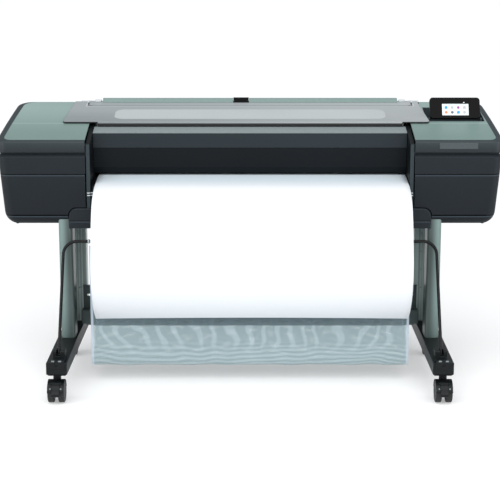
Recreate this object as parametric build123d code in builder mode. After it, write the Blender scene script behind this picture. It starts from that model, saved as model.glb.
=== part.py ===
from build123d import *
import math
import os

# Large format plotter on a wheeled stand, with a roll of paper loaded.
# Row frame: +Z up, +Y to the rear, +X to the right of a person who faces the machine.
# The origin is on the floor, under the middle of the machine. Lengths are millimetres.

# ---- driving dimensions -------------------------------------------------------------
BODY_HALF = 901.0  # half the width over the end housings, at their front
BODY_NARROWING = 24.0  # how much each side draws in by the rear
BODY_FRONT = -65.0
BODY_REAR = 365.0
CORNER = 38.0  # radius of the housings' upright front corners
REAR_CORNER = 44.0
SKIN = 3.0  # wall of the moulded covers

TOWER_INNER = 587.0  # where each end housing starts, from the middle of the machine
TOWER_BOTTOM = 581.0
TOWER_BOTTOM_HALF = 881.0
TOWER_TOP = 834.0  # the end housing meets its cap here, in a shadow groove
TOWER_TOP_HALF = 904.0
GROOVE = 9.0

CAP_TOP_LINE = ((-85.0, 876.5), (108.0, 926.0), (385.0, 983.6))  # arc of the cap's sloping top, Y and Z
CAP_BORDER = 25.0  # dark rim of the cap round its light inset
INSET_DEPTH = 2.0
HINGE_POCKET = ((604.0, 336.0, 930.0), (644.0, 359.0, 1100.0))  # for the lid's hinge

DOOR_LOW = 615.0
DOOR_HIGH = 762.6
DOOR_DEPTH = 20.0
DOOR_HINGE_Y = -58.0
DOOR_HINGE_Z = 621.0
DOOR_BARREL = 7.0
SEAM = 1.6

HOUSING_HALF = 649.0  # lower front housing, between and under the end housings
HOUSING_BOTTOM = 568.0
HOUSING_TOP = 641.0
HOUSING_CORNER = 28.0
HOUSING_REAR = -10.0

CHEEK_INNER = 569.5  # walls at both ends of the output recess
CHEEK_OUTER = 584.5
COVER_HALF = 568.5
SLOT_Z = 751.0

LID_FRONT = 100.0
LID_REAR = 345.0
LID_LEFT = -685.0
LID_RIGHT = 657.0
LID_TAPER = 21.0
LID_FRONT_Z = 932.0  # top of the lid at its front edge
LID_REAR_Z = 982.0
LID_THICK = 4.0
LID_HINGE_X = 624.0
LID_HINGE_Y = 351.0
LID_HINGE_Z = 977.0
NOTCH_HALF = 612.0  # the notch in the lid that the roll cover fills
NOTCH_FRONT = 288.0
ROLL_HINGE_X = 574.0
ROLL_HINGE_Y = 355.0
ROLL_HINGE_Z = 975.0
LATCH_LOW = -64.0
LATCH_HIGH = -4.0

PAPER_WIDTH = 1118.0
PAPER_SHIFT = 7.0
PAPER_THICK = 0.6
ROLL_Y = 284.0
ROLL_Z = 846.0
ROLL_RADIUS = 57.0
ROLL_CORE = 25.5
SPINDLE_RADIUS = 10.0
FEED_Y = 185.0
FEED_Z = 729.0
FEED_RADIUS = 12.0
GEAR_MODULE = 1.5
GEAR_TEETH = 36
PINION_TEETH = 12
PINION_DROP = GEAR_MODULE * (GEAR_TEETH + PINION_TEETH) / 2
PAPER_LINE = [  # Y and Z of the sheet, from the roll to its hanging end
    (226.4, 848),
    (220, 806),
    (207, 763),
    (185, 742.2),
    (110, 742),
    (60, 741),
    (0, 736),
    (-61, 728),
    (-110, 719),
    (-155, 702),
    (-189, 679),
    (-213, 648),
    (-232, 612),
    (-250, 560),
    (-268, 500),
    (-276, 450),
    (-269, 400),
    (-246, 350),
    (-207, 303),
    (-142, 256),
]

RAIL_FRONT = 172.0
RAIL_REAR = 196.0
RAIL_LOW = 800.0
RAIL_HIGH = 840.0
CARRIAGE_X = 690.0
CARRIAGE_WIDTH = 150.0

INLET_X = 480.0
INLET_Z = 660.0
SWITCH_OFFSET = 32.0

FOOT_INNER = 631.0
FOOT_OUTER = 703.0
FOOT_FRONT = -361.0
FOOT_REAR = 310.0
FOOT_BOTTOM = 105.0
FOOT_FRONT_TOP = 153.0
FOOT_REAR_TOP = 160.0
LEG_INNER = 638.0
LEG_OUTER = 688.0
LEG_FRONT = -61.0
COLUMN_INNER = 620.0
COLUMN_FRONT = 187.0
COLUMN_DEPTH = 50.0
HOLE_X = 648.0  # accessory holes down each column
HOLE_HEIGHTS = (290.0, 360.0, 430.0, 500.0)
HOLE_RADIUS = 3.0

WHEEL_RADIUS = 38.0
CASTER_TRAIL = 18.0
PEDAL_Y = 25.5  # the brake pedal's pivot, in front of the front axle
PEDAL_Z = 74.0
HOOD_RADIUS = 43.0
FRONT_CASTER = (674.0, -299.0)  # X and Y of the swivel
REAR_CASTER = (687.0, 262.0)

TUBE_RADIUS = 5.5
TUBE_HALF = 667.0
TUBE_FOOT = (-290.0, 172.0)  # Y and Z of the basket frame's pivot
TUBE_TOP = (-82.0, 524.0)  # Y and Z of its crossbar
TUBE_BEND = 48.0
MESH_HALF = 577.0
MESH_LINE = [  # Y and Z of the mesh, from its front hem to its rear one
    (-80, 508),
    (-85, 460),
    (-86, 300),
    (-86, 120),
    (-74, 62),
    (-30, 62),
    (45, 142),
    (110, 214),
    (176, 256),
]

PANEL_X = 754.0
PANEL_WIDTH = 186.0
PANEL_HEIGHT = 80.0
PANEL_THICK = 13.0
PANEL_PIVOT = (146.0, 937.0)  # Y and Z
PANEL_TILT = 25.0  # degrees back from upright
WELL_LOW = (650.0, 128.0, 921.0)  # the well in the right cap that the touch panel folds into
WELL_HIGH = (861.0, 288.0, 1000.0)
PANEL_LUGS = ((655.5, 660.5), (847.5, 852.5))  # X spans of the lugs that hold its pivot pins
PANEL_PIN = 2.5  # radius
LUG_RADIUS = 5.5


def save(part, name):
    """Writes one sub-part to its own STEP file."""
    part.label = name
    export_step(part, f"parts/{name}.step")


def save_pair(part, name):
    """Writes a right-hand sub-part, and its mirror image for the left."""
    save(part, f"{name}_right")
    save(mirror(part, about=Plane.YZ), f"{name}_left")


def lerp(low, high, share):
    """The value that lies the given share of the way from low to high."""
    return low + (high - low) * share


def lid_height(y):
    """Height of the lid's top at a given Y."""
    return lerp(LID_FRONT_Z, LID_REAR_Z, (y - LID_FRONT) / (LID_REAR - LID_FRONT))


def side_plane(x):
    """A sketch plane at the given X, whose own axes are the row's Y and Z."""
    return Plane.YZ.offset(x)


def front_plane(y):
    """A sketch plane at the given Y, whose own axes are the row's X and Z."""
    return Plane.XZ.offset(-y)


def bar(low, high):
    """A plain block between two opposite corners."""
    size = [b - a for a, b in zip(low, high)]
    middle = [(a + b) / 2 for a, b in zip(low, high)]
    with BuildPart() as block:
        with Locations(tuple(middle)):
            Box(*size)
    return block.part


def prism_x(points, low, high):
    """A prism along X, from an outline of (Y, Z) points."""
    with BuildPart() as prism:
        with BuildSketch(side_plane(low)):
            with BuildLine():
                Polyline(*points, close=True)
            make_face()
        extrude(amount=high - low)
    return prism.part


def rod_x(y, z, radius, low, high):
    """A round bar along X."""
    with BuildPart() as rod:
        with BuildSketch(side_plane(low)):
            with Locations((y, z)):
                Circle(radius)
        extrude(amount=high - low)
    return rod.part


def sheet_x(points, thickness, low, high):
    """A bent sheet along X. It follows a smooth line through (Y, Z) points."""
    path = [Vector(*p) for p in points]
    far_points = []
    for i, here in enumerate(path):
        ahead = path[min(i + 1, len(path) - 1)]
        behind = path[max(i - 1, 0)]
        along = (ahead - behind).normalized()
        far_points.append(here + Vector(-along.Y, along.X) * thickness)
    with BuildPart() as sheet:
        with BuildSketch(side_plane(low)):
            with BuildLine():
                near = Spline(*path)
                far = Spline(*far_points)
                Line(near @ 0, far @ 0)
                Line(near @ 1, far @ 1)
            make_face()
        extrude(amount=high - low)
    return sheet.part


# ---- end housings -------------------------------------------------------------------
def outer_rim(face):
    """The edges of an end face that are fillets' edges: not its top, nor its inner end."""
    return face.edges().filter_by(lambda e: e.center().X > 510 and e.center().Z < TOWER_TOP - 1)


def tower_block(inset):
    """Solid form of the right end housing, drawn in by the inset on every outer side."""
    depth = BODY_REAR - BODY_FRONT - 2 * inset
    lean = BODY_NARROWING / (BODY_REAR - BODY_FRONT)
    low = TOWER_BOTTOM + inset
    with BuildPart() as block:
        with BuildSketch(front_plane(BODY_FRONT + inset)):
            with BuildLine():
                Polyline(
                    (500, low),
                    (TOWER_BOTTOM_HALF - inset, low),
                    (TOWER_TOP_HALF - inset, TOWER_TOP),
                    (500, TOWER_TOP),
                    close=True,
                )
            make_face()
            corner = vertices().group_by(Axis.Y)[0].sort_by(Axis.X)[-1]
            fillet(corner, 50 - inset)
        extrude(amount=depth * math.hypot(1, lean), dir=(-lean, 1, 0))
        fillet(outer_rim(block.faces().sort_by(Axis.Y)[0]), CORNER - inset)
        fillet(outer_rim(block.faces().sort_by(Axis.Y)[-1]), REAR_CORNER - inset)
    return block.part


def tower_wall():
    """The end housing's moulded wall, open above and towards the middle."""
    with BuildPart() as wall:
        add(tower_block(0))
        top_rim = wall.faces().sort_by(Axis.Z)[-1].edges().filter_by(lambda e: e.center().X > 510)
        chamfer(top_rim, GROOVE)
        add(split_above(tower_block(SKIN), TOWER_TOP - GROOVE - 5, False), mode=Mode.SUBTRACT)
        add(split_above(tower_block(GROOVE + SKIN), TOWER_TOP - GROOVE - 6, True), mode=Mode.SUBTRACT)
        add(bar((400, -200, 500), (TOWER_INNER, 500, 900)), mode=Mode.SUBTRACT)
    return wall.part


def split_above(part, height, keep_above):
    """The stretch of a part above or below a height."""
    with BuildPart() as piece:
        add(part)
        keep = Keep.TOP if keep_above else Keep.BOTTOM
        split(bisect_by=Plane.XY.offset(height), keep=keep)
    return piece.part


def housing_notch(clearance):
    """The space that the lower housing's end takes out of the right end housing."""
    with BuildPart() as notch:
        with BuildSketch(front_plane(BODY_FRONT - 10)):
            with Locations((500, 500)):
                Rectangle(
                    HOUSING_HALF + clearance - 500,
                    HOUSING_TOP + clearance - 500,
                    align=(Align.MIN, Align.MIN),
                )
            corner = vertices().group_by(Axis.Y)[-1].sort_by(Axis.X)[-1]
            fillet(corner, HOUSING_CORNER + clearance)
        extrude(amount=-(HOUSING_REAR - BODY_FRONT + 12))
    return notch.part


DOOR_PINS = ((655.0, 664.0), (832.0, 841.0))  # X spans of a door's two hinge pins
DOOR_LUGS = ((655.0, 663.0), (833.0, 841.0))  # X spans of the lugs that hold them


def door_space(clearance):
    """The slice of the end housing that the ink door takes."""
    return bar(
        (TOWER_INNER - 50, BODY_FRONT - 5, DOOR_LOW - clearance),
        (BODY_HALF + 20, BODY_FRONT + DOOR_DEPTH + clearance, DOOR_HIGH + clearance),
    )


def make_tower():
    """Moulded shell of an end housing, with the lugs for its ink door."""
    with BuildPart() as shell:
        add(tower_wall())
        add(door_space(SEAM), mode=Mode.SUBTRACT)
        add(housing_notch(2.0), mode=Mode.SUBTRACT)
        arm_rear = BODY_FRONT + DOOR_DEPTH + 6
        for low, high in DOOR_LUGS:
            add(bar((low, DOOR_HINGE_Y, DOOR_HINGE_Z - 3.4), (high, arm_rear, DOOR_HINGE_Z + 3.4)))
            add(bar((low, arm_rear - 4, TOWER_BOTTOM + 1), (high, arm_rear, DOOR_HINGE_Z)))
            add(rod_x(DOOR_HINGE_Y, DOOR_HINGE_Z, 3.4, low, high))
            add(rod_x(DOOR_HINGE_Y, DOOR_HINGE_Z, 1.65, low - 5, high + 5), mode=Mode.SUBTRACT)
    save_pair(shell.part, "tower_shell")


def make_ink_door():
    """Door over the ink bay: it swings down on a barrel along its lower edge."""
    barrel_low = DOOR_PINS[0][1]
    barrel_high = DOOR_PINS[1][0]
    with BuildPart() as edge:
        add(bar((500, -90, DOOR_LOW - 9), (950, DOOR_HINGE_Y, DOOR_HINGE_Z)))
        add(rod_x(DOOR_HINGE_Y, DOOR_HINGE_Z, DOOR_BARREL, 490, 960), mode=Mode.SUBTRACT)
    with BuildPart() as door:
        add(tower_wall())
        add(door_space(0), mode=Mode.INTERSECT)
        add(bar((500, -100, 500), (TOWER_INNER + 1, 0, 900)), mode=Mode.SUBTRACT)
        add(edge.part, mode=Mode.SUBTRACT)
        add(rod_x(DOOR_HINGE_Y, DOOR_HINGE_Z, DOOR_BARREL - 0.05, barrel_low, barrel_high))
        add(housing_notch(3.5), mode=Mode.SUBTRACT)
        for low, high in DOOR_PINS:
            add(rod_x(DOOR_HINGE_Y, DOOR_HINGE_Z, 1.6, low, high))
    save_pair(door.part, "ink_door")


def cap_block(inset, roof):
    """Solid form of the right cap, drawn in by the inset at its sides and by the roof above."""
    front = BODY_FRONT + inset
    rear = BODY_REAR - inset
    top_points = [(y, z - roof) for y, z in CAP_TOP_LINE]
    arc_front, arc_rear = top_points[0][0], top_points[-1][0]
    outer_front = TOWER_TOP_HALF - 1 - inset
    with BuildPart() as block:
        with BuildSketch(side_plane(500)):
            with BuildLine():
                top = ThreePointArc(*top_points)
                Polyline(top @ 1, (arc_rear, TOWER_TOP), (arc_front, TOWER_TOP), top @ 0)
            make_face()
        extrude(amount=450)
        with BuildSketch(Plane.XY.offset(TOWER_TOP - 10)):
            with BuildLine():
                Polyline(
                    (490, front),
                    (outer_front, front),
                    (outer_front - BODY_NARROWING, rear),
                    (490, rear),
                    close=True,
                )
            make_face()
            fillet(vertices().group_by(Axis.Y)[0].sort_by(Axis.X)[-1], CORNER - inset)
            fillet(vertices().group_by(Axis.Y)[-1].sort_by(Axis.X)[-1], REAR_CORNER + 14 - inset)
        extrude(amount=200, mode=Mode.INTERSECT)
    return block.part


def inset_block(clearance):
    """The light inset in the cap's top: a plate that reaches to the cap's inner end."""
    outer_front = TOWER_TOP_HALF - CAP_BORDER + clearance
    with BuildPart() as plate:
        with BuildSketch(Plane.XY.offset(TOWER_TOP)):
            with BuildLine():
                Polyline(
                    (540, BODY_FRONT + 13 - clearance),
                    (outer_front, BODY_FRONT + 13 - clearance),
                    (outer_front - BODY_NARROWING, BODY_REAR - 11 + clearance),
                    (540, BODY_REAR - 11 + clearance),
                    close=True,
                )
            make_face()
            fillet(vertices().group_by(Axis.Y)[0].sort_by(Axis.X)[-1], CORNER - 12)
            fillet(vertices().group_by(Axis.Y)[-1].sort_by(Axis.X)[-1], REAR_CORNER)
        extrude(amount=200)
        add(cap_block(0, 0), mode=Mode.INTERSECT)
        add(cap_block(-5, INSET_DEPTH), mode=Mode.SUBTRACT)
        add(bar((400, -200, 500), (TOWER_INNER, 500, 1100)), mode=Mode.SUBTRACT)
    return plate.part


def well_walls():
    """Walls and floor of the well in the right cap."""
    low = Vector(*WELL_LOW)
    high = Vector(*WELL_HIGH)
    wall = Vector(SKIN, SKIN, SKIN)
    with BuildPart() as well:
        add(bar(tuple(low - wall), tuple(high + wall)))
        add(cap_block(0, 0), mode=Mode.INTERSECT)
        add(bar(WELL_LOW, WELL_HIGH), mode=Mode.SUBTRACT)
    return well.part


def panel_lugs():
    """Two lugs on the well's floor, bored for the touch panel's pivot pins."""
    pivot_y, pivot_z = PANEL_PIVOT
    with BuildPart() as lugs:
        for low, high in PANEL_LUGS:
            add(rod_x(pivot_y, pivot_z, LUG_RADIUS, low, high))
            floor = WELL_LOW[2] - 1
            add(bar((low, pivot_y - LUG_RADIUS, floor), (high, pivot_y + LUG_RADIUS, pivot_z)))
        add(rod_x(pivot_y, pivot_z, PANEL_PIN + 0.05, WELL_LOW[0], WELL_HIGH[0]), mode=Mode.SUBTRACT)
    return lugs.part


def make_caps():
    """Cap of each end housing: a rim that slopes up to the rear, open towards the middle."""
    with BuildPart() as cap:
        add(cap_block(0, 0))
        low_rim = cap.faces().sort_by(Axis.Z)[0].edges().filter_by(lambda e: e.center().X > 510)
        chamfer(low_rim, GROOVE)
        top_face = cap.faces().filter_by(GeomType.CYLINDER).sort_by(SortBy.AREA)[-1]
        fillet(top_face.edges().filter_by(lambda e: e.center().X > 510), 9)
        add(split_above(cap_block(SKIN, 5), TOWER_TOP + GROOVE + 6, True), mode=Mode.SUBTRACT)
        add(split_above(cap_block(GROOVE + SKIN, 5), TOWER_TOP + GROOVE + 7, False), mode=Mode.SUBTRACT)
        add(inset_block(0.3), mode=Mode.SUBTRACT)
        add(bar((400, -200, 500), (TOWER_INNER, 500, 1100)), mode=Mode.SUBTRACT)
        add(bar(*HINGE_POCKET), mode=Mode.SUBTRACT)
    with BuildPart() as inset:
        add(inset_block(0))
        add(bar(*HINGE_POCKET), mode=Mode.SUBTRACT)
    save(mirror(cap.part, about=Plane.YZ), "tower_cap_left")
    save(mirror(inset.part, about=Plane.YZ), "cap_inset_left")
    with BuildPart() as right_cap:
        add(cap.part)
        add(bar(WELL_LOW, WELL_HIGH), mode=Mode.SUBTRACT)
        add(well_walls())
        add(inset_block(0.3), mode=Mode.SUBTRACT)
        add(panel_lugs())
    save(right_cap.part, "tower_cap_right")
    with BuildPart() as right_inset:
        add(inset.part)
        add(bar(WELL_LOW, WELL_HIGH), mode=Mode.SUBTRACT)
    save(right_inset.part, "cap_inset_right")


def make_name_plate():
    """Plain plate on the front of the right cap."""
    save(bar((673, BODY_FRONT - 1.5, 855), (809, BODY_FRONT, 877)), "name_plate")


# ---- touch panel --------------------------------------------------------------------
def panel_plane():
    """Plane of the touch panel's front face: its own Y runs up the panel."""
    pivot_y, pivot_z = PANEL_PIVOT
    tilt = math.radians(PANEL_TILT)
    back = Vector(0, math.cos(tilt), -math.sin(tilt))
    origin = Vector(PANEL_X, pivot_y, pivot_z) - back * (PANEL_THICK - 1)
    return Plane(origin=origin, x_dir=(1, 0, 0), z_dir=-back)


def make_touch_panel():
    """Touch panel that tilts on two pins, and its glass."""
    face = panel_plane()
    pivot_y, pivot_z = PANEL_PIVOT
    with BuildPart() as glass:
        with BuildSketch(face):
            with Locations((0, PANEL_HEIGHT / 2)):
                RectangleRounded(PANEL_WIDTH - 8, PANEL_HEIGHT - 8, 8)
        extrude(amount=-1.5)
    with BuildPart() as panel:
        with BuildSketch(face):
            with Locations((0, PANEL_HEIGHT / 2)):
                RectangleRounded(PANEL_WIDTH - 1, PANEL_HEIGHT, 12)
        extrude(amount=-PANEL_THICK)
        rims = panel.faces().filter_by(Plane(face.origin, z_dir=face.z_dir)).edges()
        fillet(rims, 2.5)
        add(glass.part, mode=Mode.SUBTRACT)
        add(rod_x(pivot_y, pivot_z, PANEL_PIN, PANEL_LUGS[0][0], PANEL_LUGS[1][1]))
    save(panel.part, "touch_panel")
    save(glass.part, "touch_screen")


# ---- body between the end housings ----------------------------------------------------
def make_inner_walls():
    """Walls at the two ends of the output recess."""
    outline = [
        (BODY_FRONT + 3, HOUSING_TOP + 1),
        (BODY_FRONT + 3, 871),
        (LID_FRONT + 12, 918),
        (LID_FRONT + 12, 730),
        (20, 728),
        (-20, HOUSING_TOP + 1),
    ]
    with BuildPart() as cheek:
        add(prism_x(outline, CHEEK_INNER, CHEEK_OUTER))
        front_edges = cheek.edges().filter_by(Axis.Z).group_by(Axis.Y)[0]
        fillet(front_edges, 2.5)
    save_pair(cheek.part, "inner_wall")


def make_lower_housing():
    """Moulded front housing under the output recess. Its ends lap over the end housings."""
    with BuildPart() as housing:
        with BuildSketch(front_plane(BODY_FRONT - 1)):
            with Locations((0, (HOUSING_BOTTOM + HOUSING_TOP) / 2)):
                Rectangle(2 * HOUSING_HALF, HOUSING_TOP - HOUSING_BOTTOM)
            fillet(vertices().group_by(Axis.Y)[-1], HOUSING_CORNER)
        extrude(amount=-(HOUSING_REAR - BODY_FRONT + 1))
        chamfer(housing.faces().sort_by(Axis.Y)[0].edges().group_by(Axis.Z)[1:], 3)
        hollow_low = (-HOUSING_HALF + 14, BODY_FRONT + 4, HOUSING_BOTTOM + 4)
        hollow_high = (HOUSING_HALF - 14, HOUSING_REAR + 5, HOUSING_TOP - 14)
        add(bar(hollow_low, hollow_high), mode=Mode.SUBTRACT)
    save(housing.part, "lower_housing")


def make_base_pan():
    """Steel pan under the machine, between the end housings."""
    with BuildPart() as pan:
        add(bar((-TOWER_INNER + 1, HOUSING_REAR + 1, TOWER_BOTTOM), (TOWER_INNER - 1, 358, TOWER_BOTTOM + 3)))
        for y in (HOUSING_REAR + 1, 355):
            add(bar((-TOWER_INNER + 1, y, TOWER_BOTTOM), (TOWER_INNER - 1, y + 3, TOWER_BOTTOM + 22)))
    save(pan.part, "base_pan")


def make_rear_panel():
    """Rear cover, with a hole for the power inlet."""
    with BuildPart() as panel:
        add(bar((-TOWER_INNER + 1, 358, TOWER_BOTTOM), (TOWER_INNER - 1, 362, 966)))
        add(bar((INLET_X - 27, 350, INLET_Z - 15), (INLET_X + 47, 370, INLET_Z + 15)), mode=Mode.SUBTRACT)
        with BuildSketch(front_plane(350)):
            with Locations((0, 640)):
                with GridLocations(24, 0, 21, 1):
                    SlotCenterToCenter(30, 5, rotation=90)
        extrude(amount=-20, mode=Mode.SUBTRACT)
    save(panel.part, "rear_panel")


def make_power_entry():
    """Power inlet with its switch beside it, in the rear panel."""
    with BuildPart() as inlet:
        add(bar((INLET_X - 27, 340, INLET_Z - 15), (INLET_X + 47, 362, INLET_Z + 15)))
        add(bar((INLET_X - 31, 362, INLET_Z - 19), (INLET_X + 51, 364, INLET_Z + 19)))
        add(bar((INLET_X - 12, 346, INLET_Z - 8), (INLET_X + 12, 370, INLET_Z + 8)), mode=Mode.SUBTRACT)
        for dx, dz in ((-7, -2), (0, 2), (7, -2)):
            add(bar((INLET_X + dx - 1, 345, INLET_Z + dz - 2), (INLET_X + dx + 1, 359, INLET_Z + dz + 2)))
        x = INLET_X + SWITCH_OFFSET
        add(bar((x - 8, 346, INLET_Z - 12.5), (x + 8, 370, INLET_Z + 12.5)), mode=Mode.SUBTRACT)
        add(rod_x(354, INLET_Z, 1.6, x - 12, x + 12), mode=Mode.SUBTRACT)
    save(inlet.part, "power_inlet")
    with BuildPart() as rocker:
        with BuildSketch(side_plane(x - 7.6)):
            with BuildLine():
                Polyline((351, INLET_Z - 10), (361, INLET_Z - 10), (364, INLET_Z), (365, INLET_Z + 10))
                Polyline((365, INLET_Z + 10), (351, INLET_Z + 10), (351, INLET_Z - 10))
            make_face()
        extrude(amount=15.2)
        add(rod_x(354, INLET_Z, 1.55, x - 11.5, x + 11.5))
    save(rocker.part, "power_switch")


def make_side_frames():
    """Steel plates that hold the rail, the roller and the spindle."""
    with BuildPart() as frame:
        add(bar((TOWER_INNER + 1, 104, TOWER_BOTTOM + SKIN), (TOWER_INNER + 5, 350, 905)))
        add(bar((580, 320, 580), (600, 351, 612)), mode=Mode.SUBTRACT)
        add(bar((580, 90, 742), (600, RAIL_FRONT, 872)), mode=Mode.SUBTRACT)
        add(bar((580, RAIL_FRONT - 1, RAIL_HIGH - 14), (600, RAIL_REAR + 8, 872)), mode=Mode.SUBTRACT)
        add(bar((580, RAIL_FRONT - 1, RAIL_LOW), (600, RAIL_REAR, RAIL_HIGH)), mode=Mode.SUBTRACT)
        add(rod_x(FEED_Y, FEED_Z, 6.05, 580, 600), mode=Mode.SUBTRACT)
        slot = SPINDLE_RADIUS + 0.05
        add(rod_x(ROLL_Y, ROLL_Z, slot, 580, 600), mode=Mode.SUBTRACT)
        add(bar((580, ROLL_Y - slot, ROLL_Z), (600, ROLL_Y + slot, 910)), mode=Mode.SUBTRACT)
    save(frame.part, "side_frame_right")
    with BuildPart() as left_frame:
        add(mirror(frame.part, about=Plane.YZ))
        add(rod_x(FEED_Y, FEED_Z - PINION_DROP, 3.05, -600, -580), mode=Mode.SUBTRACT)
    save(left_frame.part, "side_frame_left")


def make_front_cover():
    """Moulded cover over the front of the print zone, and the dark lip under it."""
    outer = [(112, 914), (LID_FRONT, 913), (47, 900), (45, 897), (45, 844.5), (112, 844.5)]
    hollow = [(113, 911), (LID_FRONT, 910), (49, 897.5), (48, 896), (48, 840), (113, 840)]
    with BuildPart() as cover:
        add(prism_x(outer, -COVER_HALF, COVER_HALF))
        add(prism_x(hollow, -COVER_HALF - 1, COVER_HALF + 1), mode=Mode.SUBTRACT)
    save(cover.part, "front_cover")
    outer = [(46, 843.5), (53, 772), (60, SLOT_Z), (68, SLOT_Z), (68, 758), (57, 780), (50.5, 843.5)]
    with BuildPart() as lip:
        add(prism_x(outer, -COVER_HALF, COVER_HALF))
    save(lip.part, "front_lip")


def make_output_platen():
    """Platen under the print zone. It bends down in front and guides the paper out."""
    line = [(172, 735), (110, 735), (20, 731), (-20, 718), (-45, 690), (-60, HOUSING_TOP + 3)]
    with BuildPart() as platen:
        add(sheet_x(line, 4, -COVER_HALF, COVER_HALF))
    save(platen.part, "output_platen")


# ---- paper path -----------------------------------------------------------------------
def make_paper():
    """Sheet that leaves the roll, passes the roller and hangs from the slot."""
    low = PAPER_SHIFT - PAPER_WIDTH / 2
    high = PAPER_SHIFT + PAPER_WIDTH / 2
    with BuildPart() as sheet:
        add(sheet_x(PAPER_LINE, -PAPER_THICK, low, high))
    save(sheet.part, "output_paper")
    with BuildPart() as roll:
        add(rod_x(ROLL_Y, ROLL_Z, ROLL_RADIUS, low, high))
        add(rod_x(ROLL_Y, ROLL_Z, ROLL_CORE, low - 1, high + 1), mode=Mode.SUBTRACT)
    save(roll.part, "paper_roll")
    with BuildPart() as spindle:
        add(rod_x(ROLL_Y, ROLL_Z, SPINDLE_RADIUS, -604, 604))
        for near, far in ((low - 12, low), (high, high + 12)):
            add(rod_x(ROLL_Y, ROLL_Z, ROLL_RADIUS - 8, near, far))
        for near, far in ((low, low + 30), (high - 30, high)):
            add(rod_x(ROLL_Y, ROLL_Z, ROLL_CORE - 0.1, near, far))
    save(spindle.part, "spindle")


def gear(teeth, z, low, high, turn):
    """Spur gear on an axis along X at FEED_Y and the given height."""
    pitch = GEAR_MODULE * teeth / 2
    half_tip = GEAR_MODULE * 0.36
    half_root = GEAR_MODULE * 0.95
    with BuildSketch() as tooth:
        with BuildLine():
            Polyline(
                (pitch - 1.6 * GEAR_MODULE, -half_root),
                (pitch + 0.8 * GEAR_MODULE, -half_tip),
                (pitch + 0.8 * GEAR_MODULE, half_tip),
                (pitch - 1.6 * GEAR_MODULE, half_root),
                close=True,
            )
        make_face()
    with BuildPart() as wheel:
        with BuildSketch(side_plane(low)):
            with Locations((FEED_Y, z)):
                Circle(pitch - 1.25 * GEAR_MODULE)
                with PolarLocations(0, teeth, start_angle=turn):
                    add(tooth.sketch)
        extrude(amount=high - low)
    return wheel.part


def make_drive():
    """Rubber drive roller with its gear, and the feed motor's pinion."""
    with BuildPart() as roller:
        add(rod_x(FEED_Y, FEED_Z, FEED_RADIUS, -COVER_HALF, COVER_HALF))
        add(rod_x(FEED_Y, FEED_Z, 6, -640, 600))
        add(gear(GEAR_TEETH, FEED_Z, -634, -624, -90))
    save(roller.part, "drive_roller")
    pinion_z = FEED_Z - PINION_DROP
    with BuildPart() as pinion:
        add(gear(PINION_TEETH, pinion_z, -635, -623, 90 + 180 / PINION_TEETH))
        add(rod_x(FEED_Y, pinion_z, 3, -640, -574))
    save(pinion.part, "motor_pinion")
    with BuildPart() as motor:
        add(rod_x(FEED_Y, pinion_z, 21, -574, -530))
        add(rod_x(FEED_Y, pinion_z, 9, -587, -574))
        add(rod_x(FEED_Y, pinion_z, 3.05, -600, -560), mode=Mode.SUBTRACT)
    save(motor.part, "feed_motor")


def make_carriage():
    """Rail, carriage with its printheads, and the belt that draws it."""
    with BuildPart() as rail:
        add(bar((-862, RAIL_FRONT, RAIL_LOW), (862, RAIL_REAR, RAIL_HIGH)))
        hollow_low = (-870, RAIL_FRONT + 3, RAIL_LOW + 3)
        hollow_high = (870, RAIL_REAR + 5, RAIL_HIGH - 3)
        add(bar(hollow_low, hollow_high), mode=Mode.SUBTRACT)
    save(rail.part, "carriage_rail")
    low_x = CARRIAGE_X - CARRIAGE_WIDTH / 2
    high_x = CARRIAGE_X + CARRIAGE_WIDTH / 2
    with BuildPart() as carriage:
        add(bar((low_x, 114, 762), (high_x, RAIL_FRONT - 0.3, 858)))
        add(bar((low_x + 6, 120, 752), (high_x - 6, 160, 850)), mode=Mode.SUBTRACT)
        fillet(carriage.edges().filter_by(Axis.Z).group_by(Axis.Y)[0], 6)
        add(bar((low_x, RAIL_FRONT - 10, RAIL_HIGH + 0.3), (high_x, RAIL_REAR + 4, 858)))
        add(bar((low_x, RAIL_REAR + 0.3, RAIL_HIGH - 12), (high_x, RAIL_REAR + 4, 858)))
    save(carriage.part, "carriage")
    with BuildPart() as heads:
        pitch = (CARRIAGE_WIDTH - 16) / 6
        for i in range(6):
            start = low_x + 8 + i * pitch
            add(bar((start, 121, 750), (start + pitch - 3, 159, 849)))
    save(heads.part, "printheads")
    with BuildPart() as belt:
        with BuildSketch(front_plane(RAIL_FRONT + 8)):
            with Locations((0, (RAIL_LOW + RAIL_HIGH) / 2)):
                SlotCenterToCenter(1640, 18)
                SlotCenterToCenter(1640, 15, mode=Mode.SUBTRACT)
        extrude(amount=-6)
    save(belt.part, "carriage_belt")


def make_cartridges():
    """Ink cartridges behind the two doors, as one group of separate solids."""
    with BuildPart() as group:
        for side in (-1, 1):
            for i in range(4):
                middle = side * (668 + i * 46)
                add(bar((middle - 19, -28, 640), (middle + 19, 96, 748)))
        fillet(group.edges().filter_by(Axis.Z).group_by(Axis.Y)[0], 4)
    save(group.part, "ink_cartridges")


# ---- lid and roll cover -------------------------------------------------------------------
def inset_strip():
    """Light strip let into the lid's top, with round ends."""
    low_y, high_y = 134, 246
    with BuildPart() as strip:
        with BuildSketch(Plane.XY.offset(800)):
            with Locations((0, (low_y + high_y) / 2)):
                RectangleRounded(2 * 501, high_y - low_y, 34)
        extrude(amount=400)
        slab = [
            (low_y - 9, lid_height(low_y - 9) - 1.5),
            (low_y - 9, lid_height(low_y - 9)),
            (high_y + 9, lid_height(high_y + 9)),
            (high_y + 9, lid_height(high_y + 9) - 1.5),
        ]
        add(prism_x(slab, -600, 600), mode=Mode.INTERSECT)
    return strip.part


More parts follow.
